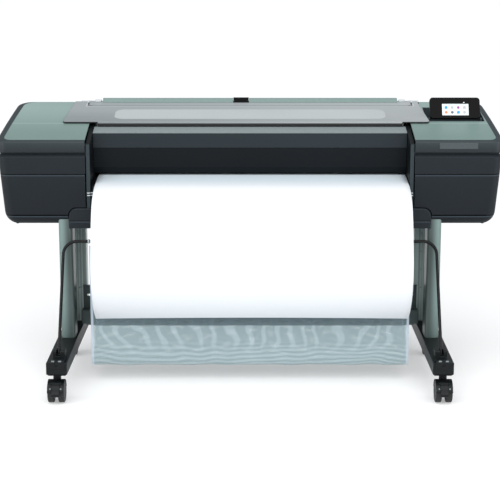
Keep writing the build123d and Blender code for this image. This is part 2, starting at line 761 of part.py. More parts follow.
def make_lid():
    """Lid over the print zone, notched at the rear for the roll cover, and its light strip."""
    side = [
        (LID_FRONT, lid_height(LID_FRONT) - LID_THICK),
        (LID_FRONT, lid_height(LID_FRONT)),
        (LID_REAR, lid_height(LID_REAR)),
        (LID_REAR, lid_height(LID_REAR) - LID_THICK),
    ]
    strip = inset_strip()
    with BuildPart() as lid:
        add(prism_x(side, LID_LEFT, LID_RIGHT))
        with BuildSketch(Plane.XY.offset(800)):
            with BuildLine():
                Polyline(
                    (LID_LEFT, LID_FRONT),
                    (LID_RIGHT, LID_FRONT),
                    (LID_RIGHT - LID_TAPER, LID_REAR),
                    (NOTCH_HALF, LID_REAR),
                    (NOTCH_HALF, NOTCH_FRONT),
                    (-NOTCH_HALF, NOTCH_FRONT),
                    (-NOTCH_HALF, LID_REAR),
                    (LID_LEFT + LID_TAPER, LID_REAR),
                    close=True,
                )
            make_face()
            fillet(vertices().group_by(Axis.Y)[0], 12)
            fillet(vertices().filter_by(lambda v: abs(v.Y - NOTCH_FRONT) < 1), 22)
        extrude(amount=400, mode=Mode.INTERSECT)
        lip_top = lid_height(LID_FRONT) - 1
        add(bar((-555, LID_FRONT, 917), (555, LID_FRONT + 4, lip_top)))
        for x in (-LID_HINGE_X, LID_HINGE_X):
            low, high = x - 10, x + 10
            add(rod_x(LID_HINGE_Y, LID_HINGE_Z, 3.8, low, high))
            add(bar((low, LID_REAR - 3, LID_HINGE_Z - 1), (high, LID_HINGE_Y, LID_HINGE_Z + 3.5)))
        add(rod_x(LID_HINGE_Y, LID_HINGE_Z, 2.05, -700, 700), mode=Mode.SUBTRACT)
        add(strip, mode=Mode.SUBTRACT)
    save(lid.part, "top_cover")
    save(strip, "window_strip")


def make_roll_cover():
    """Cover over the roll, the raised loading guide along its rear, and its latch."""
    front = NOTCH_FRONT + 2
    rear = 352
    slab = [
        (front, lid_height(front) - 3),
        (front, lid_height(front)),
        (rear, lid_height(rear)),
        (rear, lid_height(rear) - 3),
    ]
    with BuildPart() as cover:
        add(prism_x(slab, -NOTCH_HALF + 2, NOTCH_HALF - 2))
        with BuildSketch(Plane.XY.offset(800)):
            with Locations((0, front)):
                Rectangle(2 * NOTCH_HALF - 4, 90, align=(Align.CENTER, Align.MIN))
            fillet(vertices().group_by(Axis.Y)[0], 20)
        extrude(amount=400, mode=Mode.INTERSECT)
        for x in (-ROLL_HINGE_X, ROLL_HINGE_X):
            low, high = x - 8, x + 8
            add(rod_x(ROLL_HINGE_Y, ROLL_HINGE_Z, 3.8, low, high))
            add(bar((low, rear - 5, ROLL_HINGE_Z), (high, ROLL_HINGE_Y, ROLL_HINGE_Z + 7)))
        add(rod_x(ROLL_HINGE_Y, ROLL_HINGE_Z, 2.05, -610, 610), mode=Mode.SUBTRACT)
    save(cover.part, "roll_cover")
    outline = [(328, 970), (328, 979.5), (344, 992), (347, 994), (356, 994), (358, 991), (358, 979.5)]
    with BuildPart() as guide:
        add(prism_x(outline, -560, 560))
        add(bar((LATCH_LOW, 320, 960), (LATCH_HIGH, 370, 1000)), mode=Mode.SUBTRACT)
        add(cover_space(), mode=Mode.SUBTRACT)
    save(guide.part, "loading_guide")
    with BuildPart() as latch:
        add(prism_x([(y, z + 2) for y, z in outline], LATCH_LOW + 1, LATCH_HIGH - 1))
        add(bar((LATCH_LOW, 320, 986), (LATCH_HIGH, 341, 989.5)), mode=Mode.SUBTRACT)
        add(cover_space(), mode=Mode.SUBTRACT)
    save(latch.part, "cover_latch")


def cover_space():
    """All the space below the roll cover's top."""
    outline = [(300, lid_height(300)), (400, lid_height(400)), (400, 900), (300, 900)]
    return prism_x(outline, -620, 620)


def make_cover_hinges():
    """Hinge pins and brackets of the lid and of the roll cover."""
    with BuildPart() as hinges:
        for x in (-LID_HINGE_X, LID_HINGE_X):
            add(hinge_bracket(LID_HINGE_Y, LID_HINGE_Z, x, 10))
        for x in (-ROLL_HINGE_X, ROLL_HINGE_X):
            add(hinge_bracket(ROLL_HINGE_Y, ROLL_HINGE_Z, x, 8))
    save(hinges.part, "cover_hinges")


def hinge_bracket(y, z, x, half):
    """A pin along X between two ears."""
    with BuildPart() as bracket:
        add(rod_x(y, z, 2, x - half - 3.5, x + half + 3.5))
        for low in (x - half - 4, x + half + 0.5):
            add(rod_x(y, z, 3.3, low, low + 3.5))
            add(bar((low, y - 2.9, z - 40), (low + 3.5, y + 2.9, z)))
        add(bar((x - half - 4, y - 2.9, z - 43), (x + half + 4, y + 2.9, z - 40)))
    return bracket.part


# ---- stand ------------------------------------------------------------------------------
def foot_block():
    """Solid form of the right foot."""
    outline = [
        (FOOT_FRONT, FOOT_BOTTOM + 8),
        (FOOT_FRONT, FOOT_FRONT_TOP),
        (LEG_FRONT, FOOT_REAR_TOP),
        (FOOT_REAR - 6, FOOT_REAR_TOP),
        (FOOT_REAR, FOOT_REAR_TOP - 6),
        (FOOT_REAR, FOOT_BOTTOM + 8),
        (FOOT_REAR - 8, FOOT_BOTTOM),
        (FOOT_FRONT + 8, FOOT_BOTTOM),
    ]
    with BuildPart() as foot:
        add(prism_x(outline, FOOT_INNER, FOOT_OUTER))
        low_edges = foot.faces().sort_by(Axis.Z)[0].edges().filter_by(Axis.Y)
        chamfer(low_edges, 7)
        high_edges = foot.faces().filter_by(Axis.Z).sort_by(Axis.Z)[-1].edges().filter_by(Axis.Y)
        fillet(high_edges, 2)
    return foot.part


def make_feet():
    """Foot under each leg, with a socket for each of its two casters."""
    with BuildPart() as foot:
        add(foot_block())
        add(bar((600, -292, 100), (720, 220, FOOT_BOTTOM + 3)), mode=Mode.SUBTRACT)
        for x, y in (FRONT_CASTER, REAR_CASTER):
            add(stem(x, y, 5.55, 90, 134), mode=Mode.SUBTRACT)
    save_pair(foot.part, "foot")


def stem(x, y, radius, low, high):
    """An upright round bar."""
    with BuildPart() as post:
        with BuildSketch(Plane.XY.offset(low)):
            with Locations((x, y)):
                Circle(radius)
        extrude(amount=high - low)
    return post.part


def make_leg_covers():
    """Moulded leg cover: a channel that is open to the rear, from the foot to the body."""
    with BuildPart() as cover:
        with BuildSketch(Plane.XY.offset(140)):
            with BuildLine():
                Polyline(
                    (LEG_INNER, LEG_FRONT),
                    (LEG_OUTER, LEG_FRONT),
                    (LEG_OUTER, COLUMN_FRONT - 2),
                    (LEG_OUTER - 4, COLUMN_FRONT - 2),
                    (LEG_OUTER - 4, LEG_FRONT + 4),
                    (LEG_INNER + 4, LEG_FRONT + 4),
                    (LEG_INNER + 4, LEG_FRONT + 70),
                    (LEG_INNER, LEG_FRONT + 70),
                    close=True,
                )
            make_face()
            fillet(vertices().group_by(Axis.Y)[0], 9)
        extrude(amount=460)
        add(bar((600, -120, 120), (720, 260, 150)), mode=Mode.SUBTRACT)
        add(foot_block(), mode=Mode.SUBTRACT)
        add(tower_block(0), mode=Mode.SUBTRACT)
        notch_rear = HOUSING_REAR + 1
        add(bar((600, -90, HOUSING_BOTTOM - 1), (HOUSING_HALF + 1, notch_rear, 650)), mode=Mode.SUBTRACT)
    save_pair(cover.part, "leg_cover")


def make_leg_columns():
    """Steel columns that carry the body, with accessory holes down their front."""
    rear = COLUMN_FRONT + COLUMN_DEPTH
    outer = LEG_OUTER - 4
    with BuildPart() as column:
        add(bar((COLUMN_INNER, COLUMN_FRONT, FOOT_REAR_TOP), (outer, rear, TOWER_BOTTOM)))
        add(
            bar((COLUMN_INNER + 2.5, COLUMN_FRONT + 2.5, 150), (outer - 2.5, rear - 2.5, 600)),
            mode=Mode.SUBTRACT,
        )
        with BuildSketch(front_plane(COLUMN_FRONT - 5)):
            with Locations(*[(HOLE_X, z) for z in HOLE_HEIGHTS]):
                Circle(HOLE_RADIUS)
        extrude(amount=-10, mode=Mode.SUBTRACT)
    with BuildPart() as both:
        add(column.part)
        add(mirror(column.part, about=Plane.YZ))
    save(both.part, "leg_columns")


def make_cross_members():
    """Beam between the legs, and the upright panel that stands on it."""
    front = 137.0
    with BuildPart() as beam:
        add(bar((-COLUMN_INNER, front, 156), (COLUMN_INNER, COLUMN_FRONT - 2, 211)))
        add(bar((-640, front + 3, 159), (640, COLUMN_FRONT - 5, 208)), mode=Mode.SUBTRACT)
        for low, high in ((-637, -COLUMN_INNER), (COLUMN_INNER, 637)):
            add(bar((low, front, 161), (high, COLUMN_FRONT, 211)))
    save(beam.part, "cross_beam")
    with BuildPart() as panel:
        add(bar((-634, front - 2, 211), (634, COLUMN_FRONT, 213)))
        add(bar((-634, COLUMN_FRONT - 3, 211), (634, COLUMN_FRONT, 301)))
        add(bar((-634, COLUMN_FRONT - 12, 299), (634, COLUMN_FRONT, 301)))
        with BuildSketch(front_plane(COLUMN_FRONT - 8)):
            with Locations((0, 262)):
                with GridLocations(120, 0, 11, 1):
                    SlotCenterToCenter(34, 8)
        extrude(amount=-12, mode=Mode.SUBTRACT)
    save(panel.part, "cross_panel")


# ---- basket -------------------------------------------------------------------------------
def make_tube_clips():
    """Clips on the feet that hold the basket's tube."""
    pivot_y, pivot_z = TUBE_FOOT
    with BuildPart() as clip:
        add(bar((643, pivot_y - 24, 140), (685, pivot_y + 20, 183)))
        add(bar((641, FOOT_FRONT - 3, 132), (685, pivot_y - 20, 161)))
        side_edges = clip.edges().filter_by(Axis.X).group_by(Axis.Z)[-1]
        fillet(side_edges, 5)
        slot_low = TUBE_HALF - 6.5
        slot_high = TUBE_HALF + 6.5
        add(bar((slot_low, pivot_y - 40, 164), (slot_high, pivot_y + 30, 200)), mode=Mode.SUBTRACT)
        add(bar((slot_low, FOOT_FRONT - 10, 140), (slot_high, FOOT_FRONT, 200)), mode=Mode.SUBTRACT)
        add(rod_x(pivot_y, pivot_z, 3.05, 640, 690), mode=Mode.SUBTRACT)
        add(foot_block(), mode=Mode.SUBTRACT)
    with BuildPart() as both:
        add(clip.part)
        add(mirror(clip.part, about=Plane.YZ))
    save(both.part, "tube_clips")


def make_basket():
    """Bent tube across the stand, and the mesh that hangs from it to the cross panel."""
    pivot_y, pivot_z = TUBE_FOOT
    top_y, top_z = TUBE_TOP
    rise = Vector(0, top_y - pivot_y, top_z - pivot_z)
    plane = Plane(origin=(0, pivot_y, pivot_z), x_dir=(1, 0, 0), z_dir=Vector(1, 0, 0).cross(rise))
    with BuildPart() as tube:
        with BuildLine(plane) as route:
            FilletPolyline(
                (-TUBE_HALF, -5),
                (-TUBE_HALF, rise.length),
                (TUBE_HALF, rise.length),
                (TUBE_HALF, -5),
                radius=TUBE_BEND,
            )
        with BuildSketch(Plane(origin=route.line @ 0, z_dir=route.line % 0)):
            Circle(TUBE_RADIUS)
        sweep(path=route.line)
        for x in (-TUBE_HALF, TUBE_HALF):
            add(rod_x(pivot_y, pivot_z, 3, x - 14, x + 14))
    save(tube.part, "basket_tube")
    with BuildPart() as mesh:
        add(sheet_x(MESH_LINE, 2, -MESH_HALF, MESH_HALF))
    save(mesh.part, "basket_mesh")


# ---- casters ------------------------------------------------------------------------------
def wheel_spaces(x, axle_y):
    """Room for the two wheels of a front caster, each side of its web."""
    with BuildPart() as spaces:
        for low, high in ((x - 32, x - 5), (x + 5, x + 32)):
            add(rod_x(axle_y, WHEEL_RADIUS, HOOD_RADIUS - 2.5, low, high))
    return spaces.part


def make_front_caster():
    """Twin-wheel caster under the front of each foot: hood, wheels on an axle, and brake."""
    x, y = FRONT_CASTER
    axle_y = y - CASTER_TRAIL
    pivot_y = axle_y - PEDAL_Y
    with BuildPart() as fork:
        add(rod_x(axle_y, WHEEL_RADIUS, HOOD_RADIUS, x - 29, x + 29))
        add(bar((x - 40, axle_y - 60, -10), (x + 40, axle_y + 60, WHEEL_RADIUS + 6)), mode=Mode.SUBTRACT)
        add(bar((x - 14.5, axle_y - 60, 0), (x + 14.5, axle_y - 19, PEDAL_Z + 4)), mode=Mode.SUBTRACT)
        add(bar((x - 5, axle_y - 14, WHEEL_RADIUS - 12), (x + 5, axle_y + 24, WHEEL_RADIUS + 30)))
        add(stem(x, y, 14, WHEEL_RADIUS + 34, FOOT_BOTTOM - 3))
        add(stem(x, y, 5.5, FOOT_BOTTOM - 10, 132))
        for low in (x - 18.5, x + 14.5):
            add(rod_x(pivot_y, PEDAL_Z, 3.4, low, low + 4))
        add(wheel_spaces(x, axle_y), mode=Mode.SUBTRACT)
        add(rod_x(axle_y, WHEEL_RADIUS, 4.05, x - 40, x + 40), mode=Mode.SUBTRACT)
        add(rod_x(pivot_y, PEDAL_Z, 1.55, x - 30, x + 30), mode=Mode.SUBTRACT)
    save_pair(fork.part, "front_caster_fork")
    with BuildPart() as wheels:
        for low, high in ((x - 29, x - 8), (x + 8, x + 29)):
            add(wheel(axle_y, low, high))
        add(rod_x(axle_y, WHEEL_RADIUS, 4, x - 26, x + 26))
    save_pair(wheels.part, "front_caster_wheels")
    outline = [polar(HOOD_RADIUS + 1.5, angle) for angle in (127, 140, 155, 168)]
    outline += [(-48, 2), (-48, -6), (-43.5, -9)]
    outline += [polar(HOOD_RADIUS - 1.5, angle) for angle in (176, 160, 145, 130)]
    with BuildPart() as pedal:
        add(prism_x([(axle_y + dy, WHEEL_RADIUS + dz) for dy, dz in outline], x - 13.5, x + 13.5))
        add(rod_x(pivot_y, PEDAL_Z, 2.9, x - 13.5, x + 13.5))
        add(rod_x(pivot_y, PEDAL_Z, 1.5, x - 18.5, x + 18.5))
    save_pair(pedal.part, "caster_brake")


def polar(radius, angle):
    """The Y and Z of a point at an angle in degrees, round a wheel's centre."""
    return (radius * math.cos(math.radians(angle)), radius * math.sin(math.radians(angle)))


def wheel(axle_y, low, high):
    """A wheel with a round-edged tread and a dished side."""
    with BuildPart() as disc:
        add(rod_x(axle_y, WHEEL_RADIUS, WHEEL_RADIUS, low, high))
        fillet(disc.edges().filter_by(GeomType.CIRCLE), 3)
    return disc.part


def make_rear_caster():
    """Single-wheel caster under the rear of each foot."""
    x, y = REAR_CASTER
    axle_y = y + CASTER_TRAIL
    with BuildPart() as fork:
        for low, high in ((x - 16, x - 13), (x + 13, x + 16)):
            outline = [
                (axle_y - 9, WHEEL_RADIUS - 8),
                (axle_y + 9, WHEEL_RADIUS - 8),
                (axle_y + 12, WHEEL_RADIUS + 6),
                (y + 16, WHEEL_RADIUS + 44),
                (y - 18, WHEEL_RADIUS + 44),
            ]
            add(prism_x(outline, low, high))
        add(bar((x - 16, y - 18, WHEEL_RADIUS + 41), (x + 16, y + 18, WHEEL_RADIUS + 44)))
        add(stem(x, y, 13, WHEEL_RADIUS + 43, FOOT_BOTTOM - 1))
        add(stem(x, y, 5.5, FOOT_BOTTOM - 10, 132))
        add(rod_x(axle_y, WHEEL_RADIUS, 4.05, x - 40, x + 40), mode=Mode.SUBTRACT)
    save_pair(fork.part, "rear_caster_fork")
    with BuildPart() as wheels:
        add(wheel(axle_y, x - 12, x + 12))
        add(rod_x(axle_y, WHEEL_RADIUS, 4, x - 15.5, x + 15.5))
    save_pair(wheels.part, "rear_caster_wheel")


def main():
    """Writes every sub-part."""
    os.makedirs("parts", exist_ok=True)
    make_tower()
    make_ink_door()
    make_caps()
    make_name_plate()
    make_touch_panel()
    make_inner_walls()
    make_lower_housing()
    make_base_pan()
    make_rear_panel()
    make_power_entry()
    make_side_frames()
    make_front_cover()
    make_output_platen()
    make_paper()
    make_drive()
    make_carriage()
    make_cartridges()
    make_lid()
    make_roll_cover()
    make_cover_hinges()
    make_feet()
    make_leg_covers()
    make_leg_columns()
    make_cross_members()
    make_tube_clips()
    make_basket()
    make_front_caster()
    make_rear_caster()


if __name__ == "__main__":
    main()
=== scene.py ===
import math

import bmesh
import bpy
import numpy as np
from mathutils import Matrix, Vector


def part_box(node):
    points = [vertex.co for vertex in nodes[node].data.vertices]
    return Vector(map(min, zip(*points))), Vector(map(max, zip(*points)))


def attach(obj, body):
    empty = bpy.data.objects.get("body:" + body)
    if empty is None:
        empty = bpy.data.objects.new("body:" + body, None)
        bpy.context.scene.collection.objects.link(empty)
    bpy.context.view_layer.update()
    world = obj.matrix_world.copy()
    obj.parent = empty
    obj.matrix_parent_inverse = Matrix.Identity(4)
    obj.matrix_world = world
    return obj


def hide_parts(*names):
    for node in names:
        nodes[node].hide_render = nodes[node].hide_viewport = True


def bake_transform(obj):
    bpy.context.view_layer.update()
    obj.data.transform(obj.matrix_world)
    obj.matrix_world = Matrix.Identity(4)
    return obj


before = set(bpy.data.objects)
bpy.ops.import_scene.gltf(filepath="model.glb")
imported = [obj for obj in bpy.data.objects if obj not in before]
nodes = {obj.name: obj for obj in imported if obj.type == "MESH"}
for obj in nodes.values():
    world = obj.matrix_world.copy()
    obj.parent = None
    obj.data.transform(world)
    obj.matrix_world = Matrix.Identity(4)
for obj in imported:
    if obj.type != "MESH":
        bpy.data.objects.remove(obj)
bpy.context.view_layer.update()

MM = 0.001
LIP_HALF = 0.557  # half the width between the inner cheeks


# ---- node helpers --------------------------------------------------------------------
def tone(red, green, blue):
    """Linear colour from display values of 0 to 255."""
    out = []
    for value in (red, green, blue):
        v = value / 255
        out.append(v / 12.92 if v <= 0.04045 else ((v + 0.055) / 1.055) ** 2.4)
    return (*out, 1.0)


def scaled(colour, factor):
    return (*(min(c * factor, 1.0) for c in colour[:3]), 1.0)


class Shader:
    """A Principled material, with short calls for the nodes that feed it."""

    def __init__(self, name, rough, metallic=0.0, specular=0.5, sheen=0.0):
        self.material = bpy.data.materials.new(name)
        self.material.use_nodes = True
        self.tree = self.material.node_tree
        self.tree.nodes.clear()
        self.out = self.tree.nodes.new("ShaderNodeOutputMaterial")
        self.bsdf = self.tree.nodes.new("ShaderNodeBsdfPrincipled")
        self.link(self.bsdf.outputs[0], self.out.inputs[0])
        self.bsdf.inputs["Roughness"].default_value = rough
        self.bsdf.inputs["Metallic"].default_value = metallic
        self.bsdf.inputs["Specular IOR Level"].default_value = specular
        self.bsdf.inputs["Sheen Weight"].default_value = sheen
        coords = self.tree.nodes.new("ShaderNodeTexCoord")
        self.place = coords.outputs["Object"]
        geometry = self.tree.nodes.new("ShaderNodeNewGeometry")
        self.true_normal = geometry.outputs["True Normal"]

    def link(self, source, target):
        self.tree.links.new(source, target)

    def math(self, operation, first, second=0.0, third=0.0, clamp=False):
        node = self.tree.nodes.new("ShaderNodeMath")
        node.operation = operation
        node.use_clamp = clamp
        for socket, value in zip(node.inputs, (first, second, third)):
            if isinstance(value, (int, float)):
                socket.default_value = value
            else:
                self.link(value, socket)
        return node.outputs[0]

    def band(self, value, low, high, out_low=0.0, out_high=1.0):
        """Maps a value from low..high to out_low..out_high, smoothly and clamped."""
        node = self.tree.nodes.new("ShaderNodeMapRange")
        node.interpolation_type = "SMOOTHSTEP"
        self.link(value, node.inputs["Value"])
        node.inputs["From Min"].default_value = low
        node.inputs["From Max"].default_value = high
        node.inputs["To Min"].default_value = out_low
        node.inputs["To Max"].default_value = out_high
        return node.outputs[0]

    def stripe(self, value, rise, full, fall, end):
        """1 between full and fall, and 0 before rise and after end."""
        return self.math("MULTIPLY", self.band(value, rise, full), self.band(value, fall, end, 1.0, 0.0))

    def axis(self, vector, index):
        node = self.tree.nodes.new("ShaderNodeSeparateXYZ")
        self.link(vector, node.inputs[0])
        return node.outputs[index]

    def noise(self, scale, detail=2.0, stretch=(1, 1, 1), rough=0.5):
        mapping = self.tree.nodes.new("ShaderNodeMapping")
        mapping.inputs["Scale"].default_value = stretch
        self.link(self.place, mapping.inputs["Vector"])
        node = self.tree.nodes.new("ShaderNodeTexNoise")
        node.inputs["Scale"].default_value = scale
        node.inputs["Detail"].default_value = detail
        node.inputs["Roughness"].default_value = rough
        self.link(mapping.outputs[0], node.inputs["Vector"])
        return node.outputs["Fac"]

    def mix(self, share, first, second):
        node = self.tree.nodes.new("ShaderNodeMix")
        node.data_type = "RGBA"
        for name, value in ((6, first), (7, second)):
            if isinstance(value, tuple):
                node.inputs[name].default_value = value
            else:
                self.link(value, node.inputs[name])
        self.link(share, node.inputs[0])
        return node.outputs[2]

    def edges(self, radius):
        """How near a point is to a convex or concave edge, and the normal that rounds it."""
        node = self.tree.nodes.new("ShaderNodeBevel")
        node.samples = 6
        node.inputs["Radius"].default_value = radius
        dot = self.tree.nodes.new("ShaderNodeVectorMath")
        dot.operation = "DOT_PRODUCT"
        self.link(node.outputs[0], dot.inputs[0])
        self.link(self.true_normal, dot.inputs[1])
        near = self.band(dot.outputs["Value"], 0.72, 0.99, 1.0, 0.0)
        return near, node.outputs[0]

    def bump(self, height, strength, distance, normal=None):
        node = self.tree.nodes.new("ShaderNodeBump")
        node.inputs["Strength"].default_value = strength
        node.inputs["Distance"].default_value = distance
        self.link(height, node.inputs["Height"])
        if normal is not None:
            self.link(normal, node.inputs["Normal"])
        self.link(node.outputs[0], self.bsdf.inputs["Normal"])
        return node.outputs[0]

    def colour(self, socket):
        self.link(socket, self.bsdf.inputs["Base Color"])

    def roughness(self, socket):
        self.link(socket, self.bsdf.inputs["Roughness"])


def moulded(name, base, rough=0.45, grain=620, relief=0.35, edge_highlight=1.7, radius=1.6, vary=0.08,
            specular=0.5, front=None, top_lit=None, lower_shade=None, seams=()):
    """Injection-moulded plastic: fine spark-eroded grain, slight mottling, painted highlights on the edges.

    lower_shade is (low, high, share at the low height), a painted shade towards the low end, and seams
    are heights of dark joint lines, each with a paler painted highlight line below it. front and top_lit
    are painted light: colours for the faces that face forwards and upwards.
    """
    s = Shader(name, rough, specular=specular)
    base = tone(*base)
    cloud = s.noise(3.1, 4.0)
    grains = s.noise(grain, 2.0)
    body = s.mix(s.band(cloud, 0.3, 0.7), scaled(base, 1 - vary), scaled(base, 1 + vary))
    height = s.axis(s.place, 2)
    # Painted shade: the colour darkens towards the lower height.
    if lower_shade is not None:
        low_end, high_end, share = lower_shade
        body = s.mix(s.band(height, low_end, high_end, 1.0, 0.0), body, scaled(base, share))
    # Painted light: faces that face forwards get the front colour.
    if front is not None:
        facing = s.band(s.axis(s.true_normal, 1), -0.85, -0.55, 1.0, 0.0)
        body = s.mix(facing, body, tone(*front))
    # Painted light: upward-facing faces get a lighter colour.
    if top_lit is not None:
        facing = s.band(s.axis(s.true_normal, 2), 0.3, 0.7)
        body = s.mix(facing, body, tone(*top_lit))
    speck = s.mix(s.band(grains, 0.35, 0.65, 0.0, 0.35), body, scaled(base, 0.72))
    # Painted highlight: the colour is lightened near edges.
    near, rounded = s.edges(radius * MM)
    body = s.mix(s.math("MULTIPLY", near, 0.75), speck, scaled(base, edge_highlight))
    outward = s.band(s.axis(s.true_normal, 2), 0.4, 0.7, 1.0, 0.0)
    for seam in seams:
        above = s.math("SUBTRACT", height, seam)
        dark = s.stripe(above, -1.6 * MM, -1.2 * MM, 2.0 * MM, 2.4 * MM)
        # Painted highlight: a paler line just below each dark joint line, kept off upward faces.
        light = s.stripe(above, -6.4 * MM, -5.0 * MM, -2.0 * MM, -1.6 * MM)
        body = s.mix(s.math("MULTIPLY", s.math("MULTIPLY", light, outward), 0.8), body, scaled(base, 3.2))
        body = s.mix(s.math("MULTIPLY", dark, outward), body, scaled(base, 0.12))
    s.colour(body)
    s.roughness(s.band(grains, 0.25, 0.75, rough - 0.05, rough + 0.07))
    s.bump(grains, relief, 0.15 * MM, rounded)
    return s.material


def painted(name, base, rough=0.38, peel=150, edge_highlight=1.35, radius=1.2, specular=0.5):
    """Powder coat on steel: faint orange peel and a painted highlight on the edges."""
    s = Shader(name, rough, specular=specular)
    base = tone(*base)
    cloud = s.noise(2.3, 3.0)
    wave = s.noise(peel, 2.0)
    body = s.mix(s.band(cloud, 0.3, 0.7), scaled(base, 0.9), scaled(base, 1.1))
    near, rounded = s.edges(radius * MM)
    # Painted highlight: the colour is lightened near edges.
    s.colour(s.mix(s.math("MULTIPLY", near, 0.6), body, scaled(base, edge_highlight)))
    s.roughness(s.band(wave, 0.3, 0.7, rough - 0.06, rough + 0.06))
    s.bump(wave, 0.25, 0.25 * MM, rounded)
    return s.material


def brushed(name, base, rough=0.32, stretch=(1, 60, 60)):
    """Bright rolled or turned steel, with fine lines along X."""
    s = Shader(name, rough, metallic=1.0)
    base = tone(*base)
    lines = s.noise(26, 4.0, stretch)
    cloud = s.noise(6, 3.0)
    body = s.mix(s.band(lines, 0.3, 0.7), scaled(base, 0.82), scaled(base, 1.12))
    rounded = s.edges(0.6 * MM)[1]
    s.colour(s.mix(s.band(cloud, 0.3, 0.8, 0.0, 0.25), body, scaled(base, 0.75)))
    s.roughness(s.band(lines, 0.3, 0.7, rough - 0.08, rough + 0.12))
    s.bump(lines, 0.15, 0.1 * MM, rounded)
    return s.material


def rubber(name, tread, side, rough=0.62):
    """Caster wheel: hard grey tread with fine scuffs, and a lighter moulded hub."""
    s = Shader(name, rough)
    sideways = s.band(s.math("ABSOLUTE", s.axis(s.true_normal, 0)), 0.55, 0.8)
    scuffs = s.noise(95, 5.0, (1, 3, 3))
    grain = s.noise(800, 2.0)
    body = s.mix(sideways, tone(*tread), tone(*side))
    s.colour(s.mix(s.band(scuffs, 0.5, 0.75, 0.0, 0.3), body, scaled(tone(*side), 1.5)))
    rounded = s.edges(0.8 * MM)[1]
    s.roughness(s.band(scuffs, 0.3, 0.7, rough - 0.08, rough + 0.12))
    s.bump(grain, 0.3, 0.12 * MM, rounded)
    return s.material


def coated_paper(name, base=(231, 234, 237)):
    """Matt coated paper: a faint fibre mottle and the slightest tooth."""
    s = Shader(name, 0.68, specular=0.3)
    fibre = s.noise(420, 5.0, (1, 1, 1), 0.7)
    cloud = s.noise(5, 3.0)
    base = tone(*base)
    body = s.mix(s.band(cloud, 0.3, 0.7), scaled(base, 0.985), base)
    # Painted shade: the lower, hanging part of the sheet is greyed.
    hanging = s.band(s.axis(s.place, 2), 0.24, 0.50, 0.55, 0.0)
    body = s.mix(hanging, body, tone(206, 213, 219))
    # Painted shade: a bluish grey close to the slot.
    slot_shade = s.band(s.axis(s.place, 1), -0.11, -0.01)
    body = s.mix(s.math("MULTIPLY", slot_shade, 0.85), body, tone(196, 210, 218))
    s.colour(s.mix(s.band(fibre, 0.4, 0.7, 0.0, 0.4), body, scaled(base, 0.975)))
    s.roughness(s.band(fibre, 0.3, 0.7, 0.62, 0.74))
    s.bump(fibre, 0.12, 0.05 * MM)
    # A painted glow on the sheet's rear side stands in for light that comes through the sheet and brightens
    # it a little.
    facing_back = s.math("MULTIPLY_ADD", s.axis(s.true_normal, 2), -0.3, s.axis(s.true_normal, 1))
    rear_glow = s.band(facing_back, 0.0, 0.05)
    s.link(s.mix(rear_glow, (0.0, 0.0, 0.0, 1.0), tone(206, 214, 220)), s.bsdf.inputs["Emission Color"])
    s.bsdf.inputs["Emission Strength"].default_value = 0.32
    return s.material


def wound_paper(name):
    """The roll: white across its face, and fine rings of wound layers on its ends."""
    s = Shader(name, 0.66, specular=0.3)
    low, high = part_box("paper_roll")
    middle = (low + high) / 2
    y = s.math("SUBTRACT", s.axis(s.place, 1), middle.y)
    z = s.math("SUBTRACT", s.axis(s.place, 2), middle.z)
    radius = s.math("SQRT", s.math("ADD", s.math("MULTIPLY", y, y), s.math("MULTIPLY", z, z)))
    rings = s.math("SINE", s.math("MULTIPLY", radius, 5200.0))
    ends = s.band(s.math("ABSOLUTE", s.axis(s.true_normal, 0)), 0.6, 0.9)
    layers = s.math("MULTIPLY", s.band(rings, -1.0, 1.0), ends)
    body = s.mix(layers, tone(245, 247, 248), tone(196, 196, 190))
    core = s.band(radius, 0.0275, 0.029, 1.0, 0.0)
    s.colour(s.mix(s.math("MULTIPLY", core, ends), body, tone(150, 122, 92)))
    s.bump(layers, 0.2, 0.1 * MM)
    return s.material


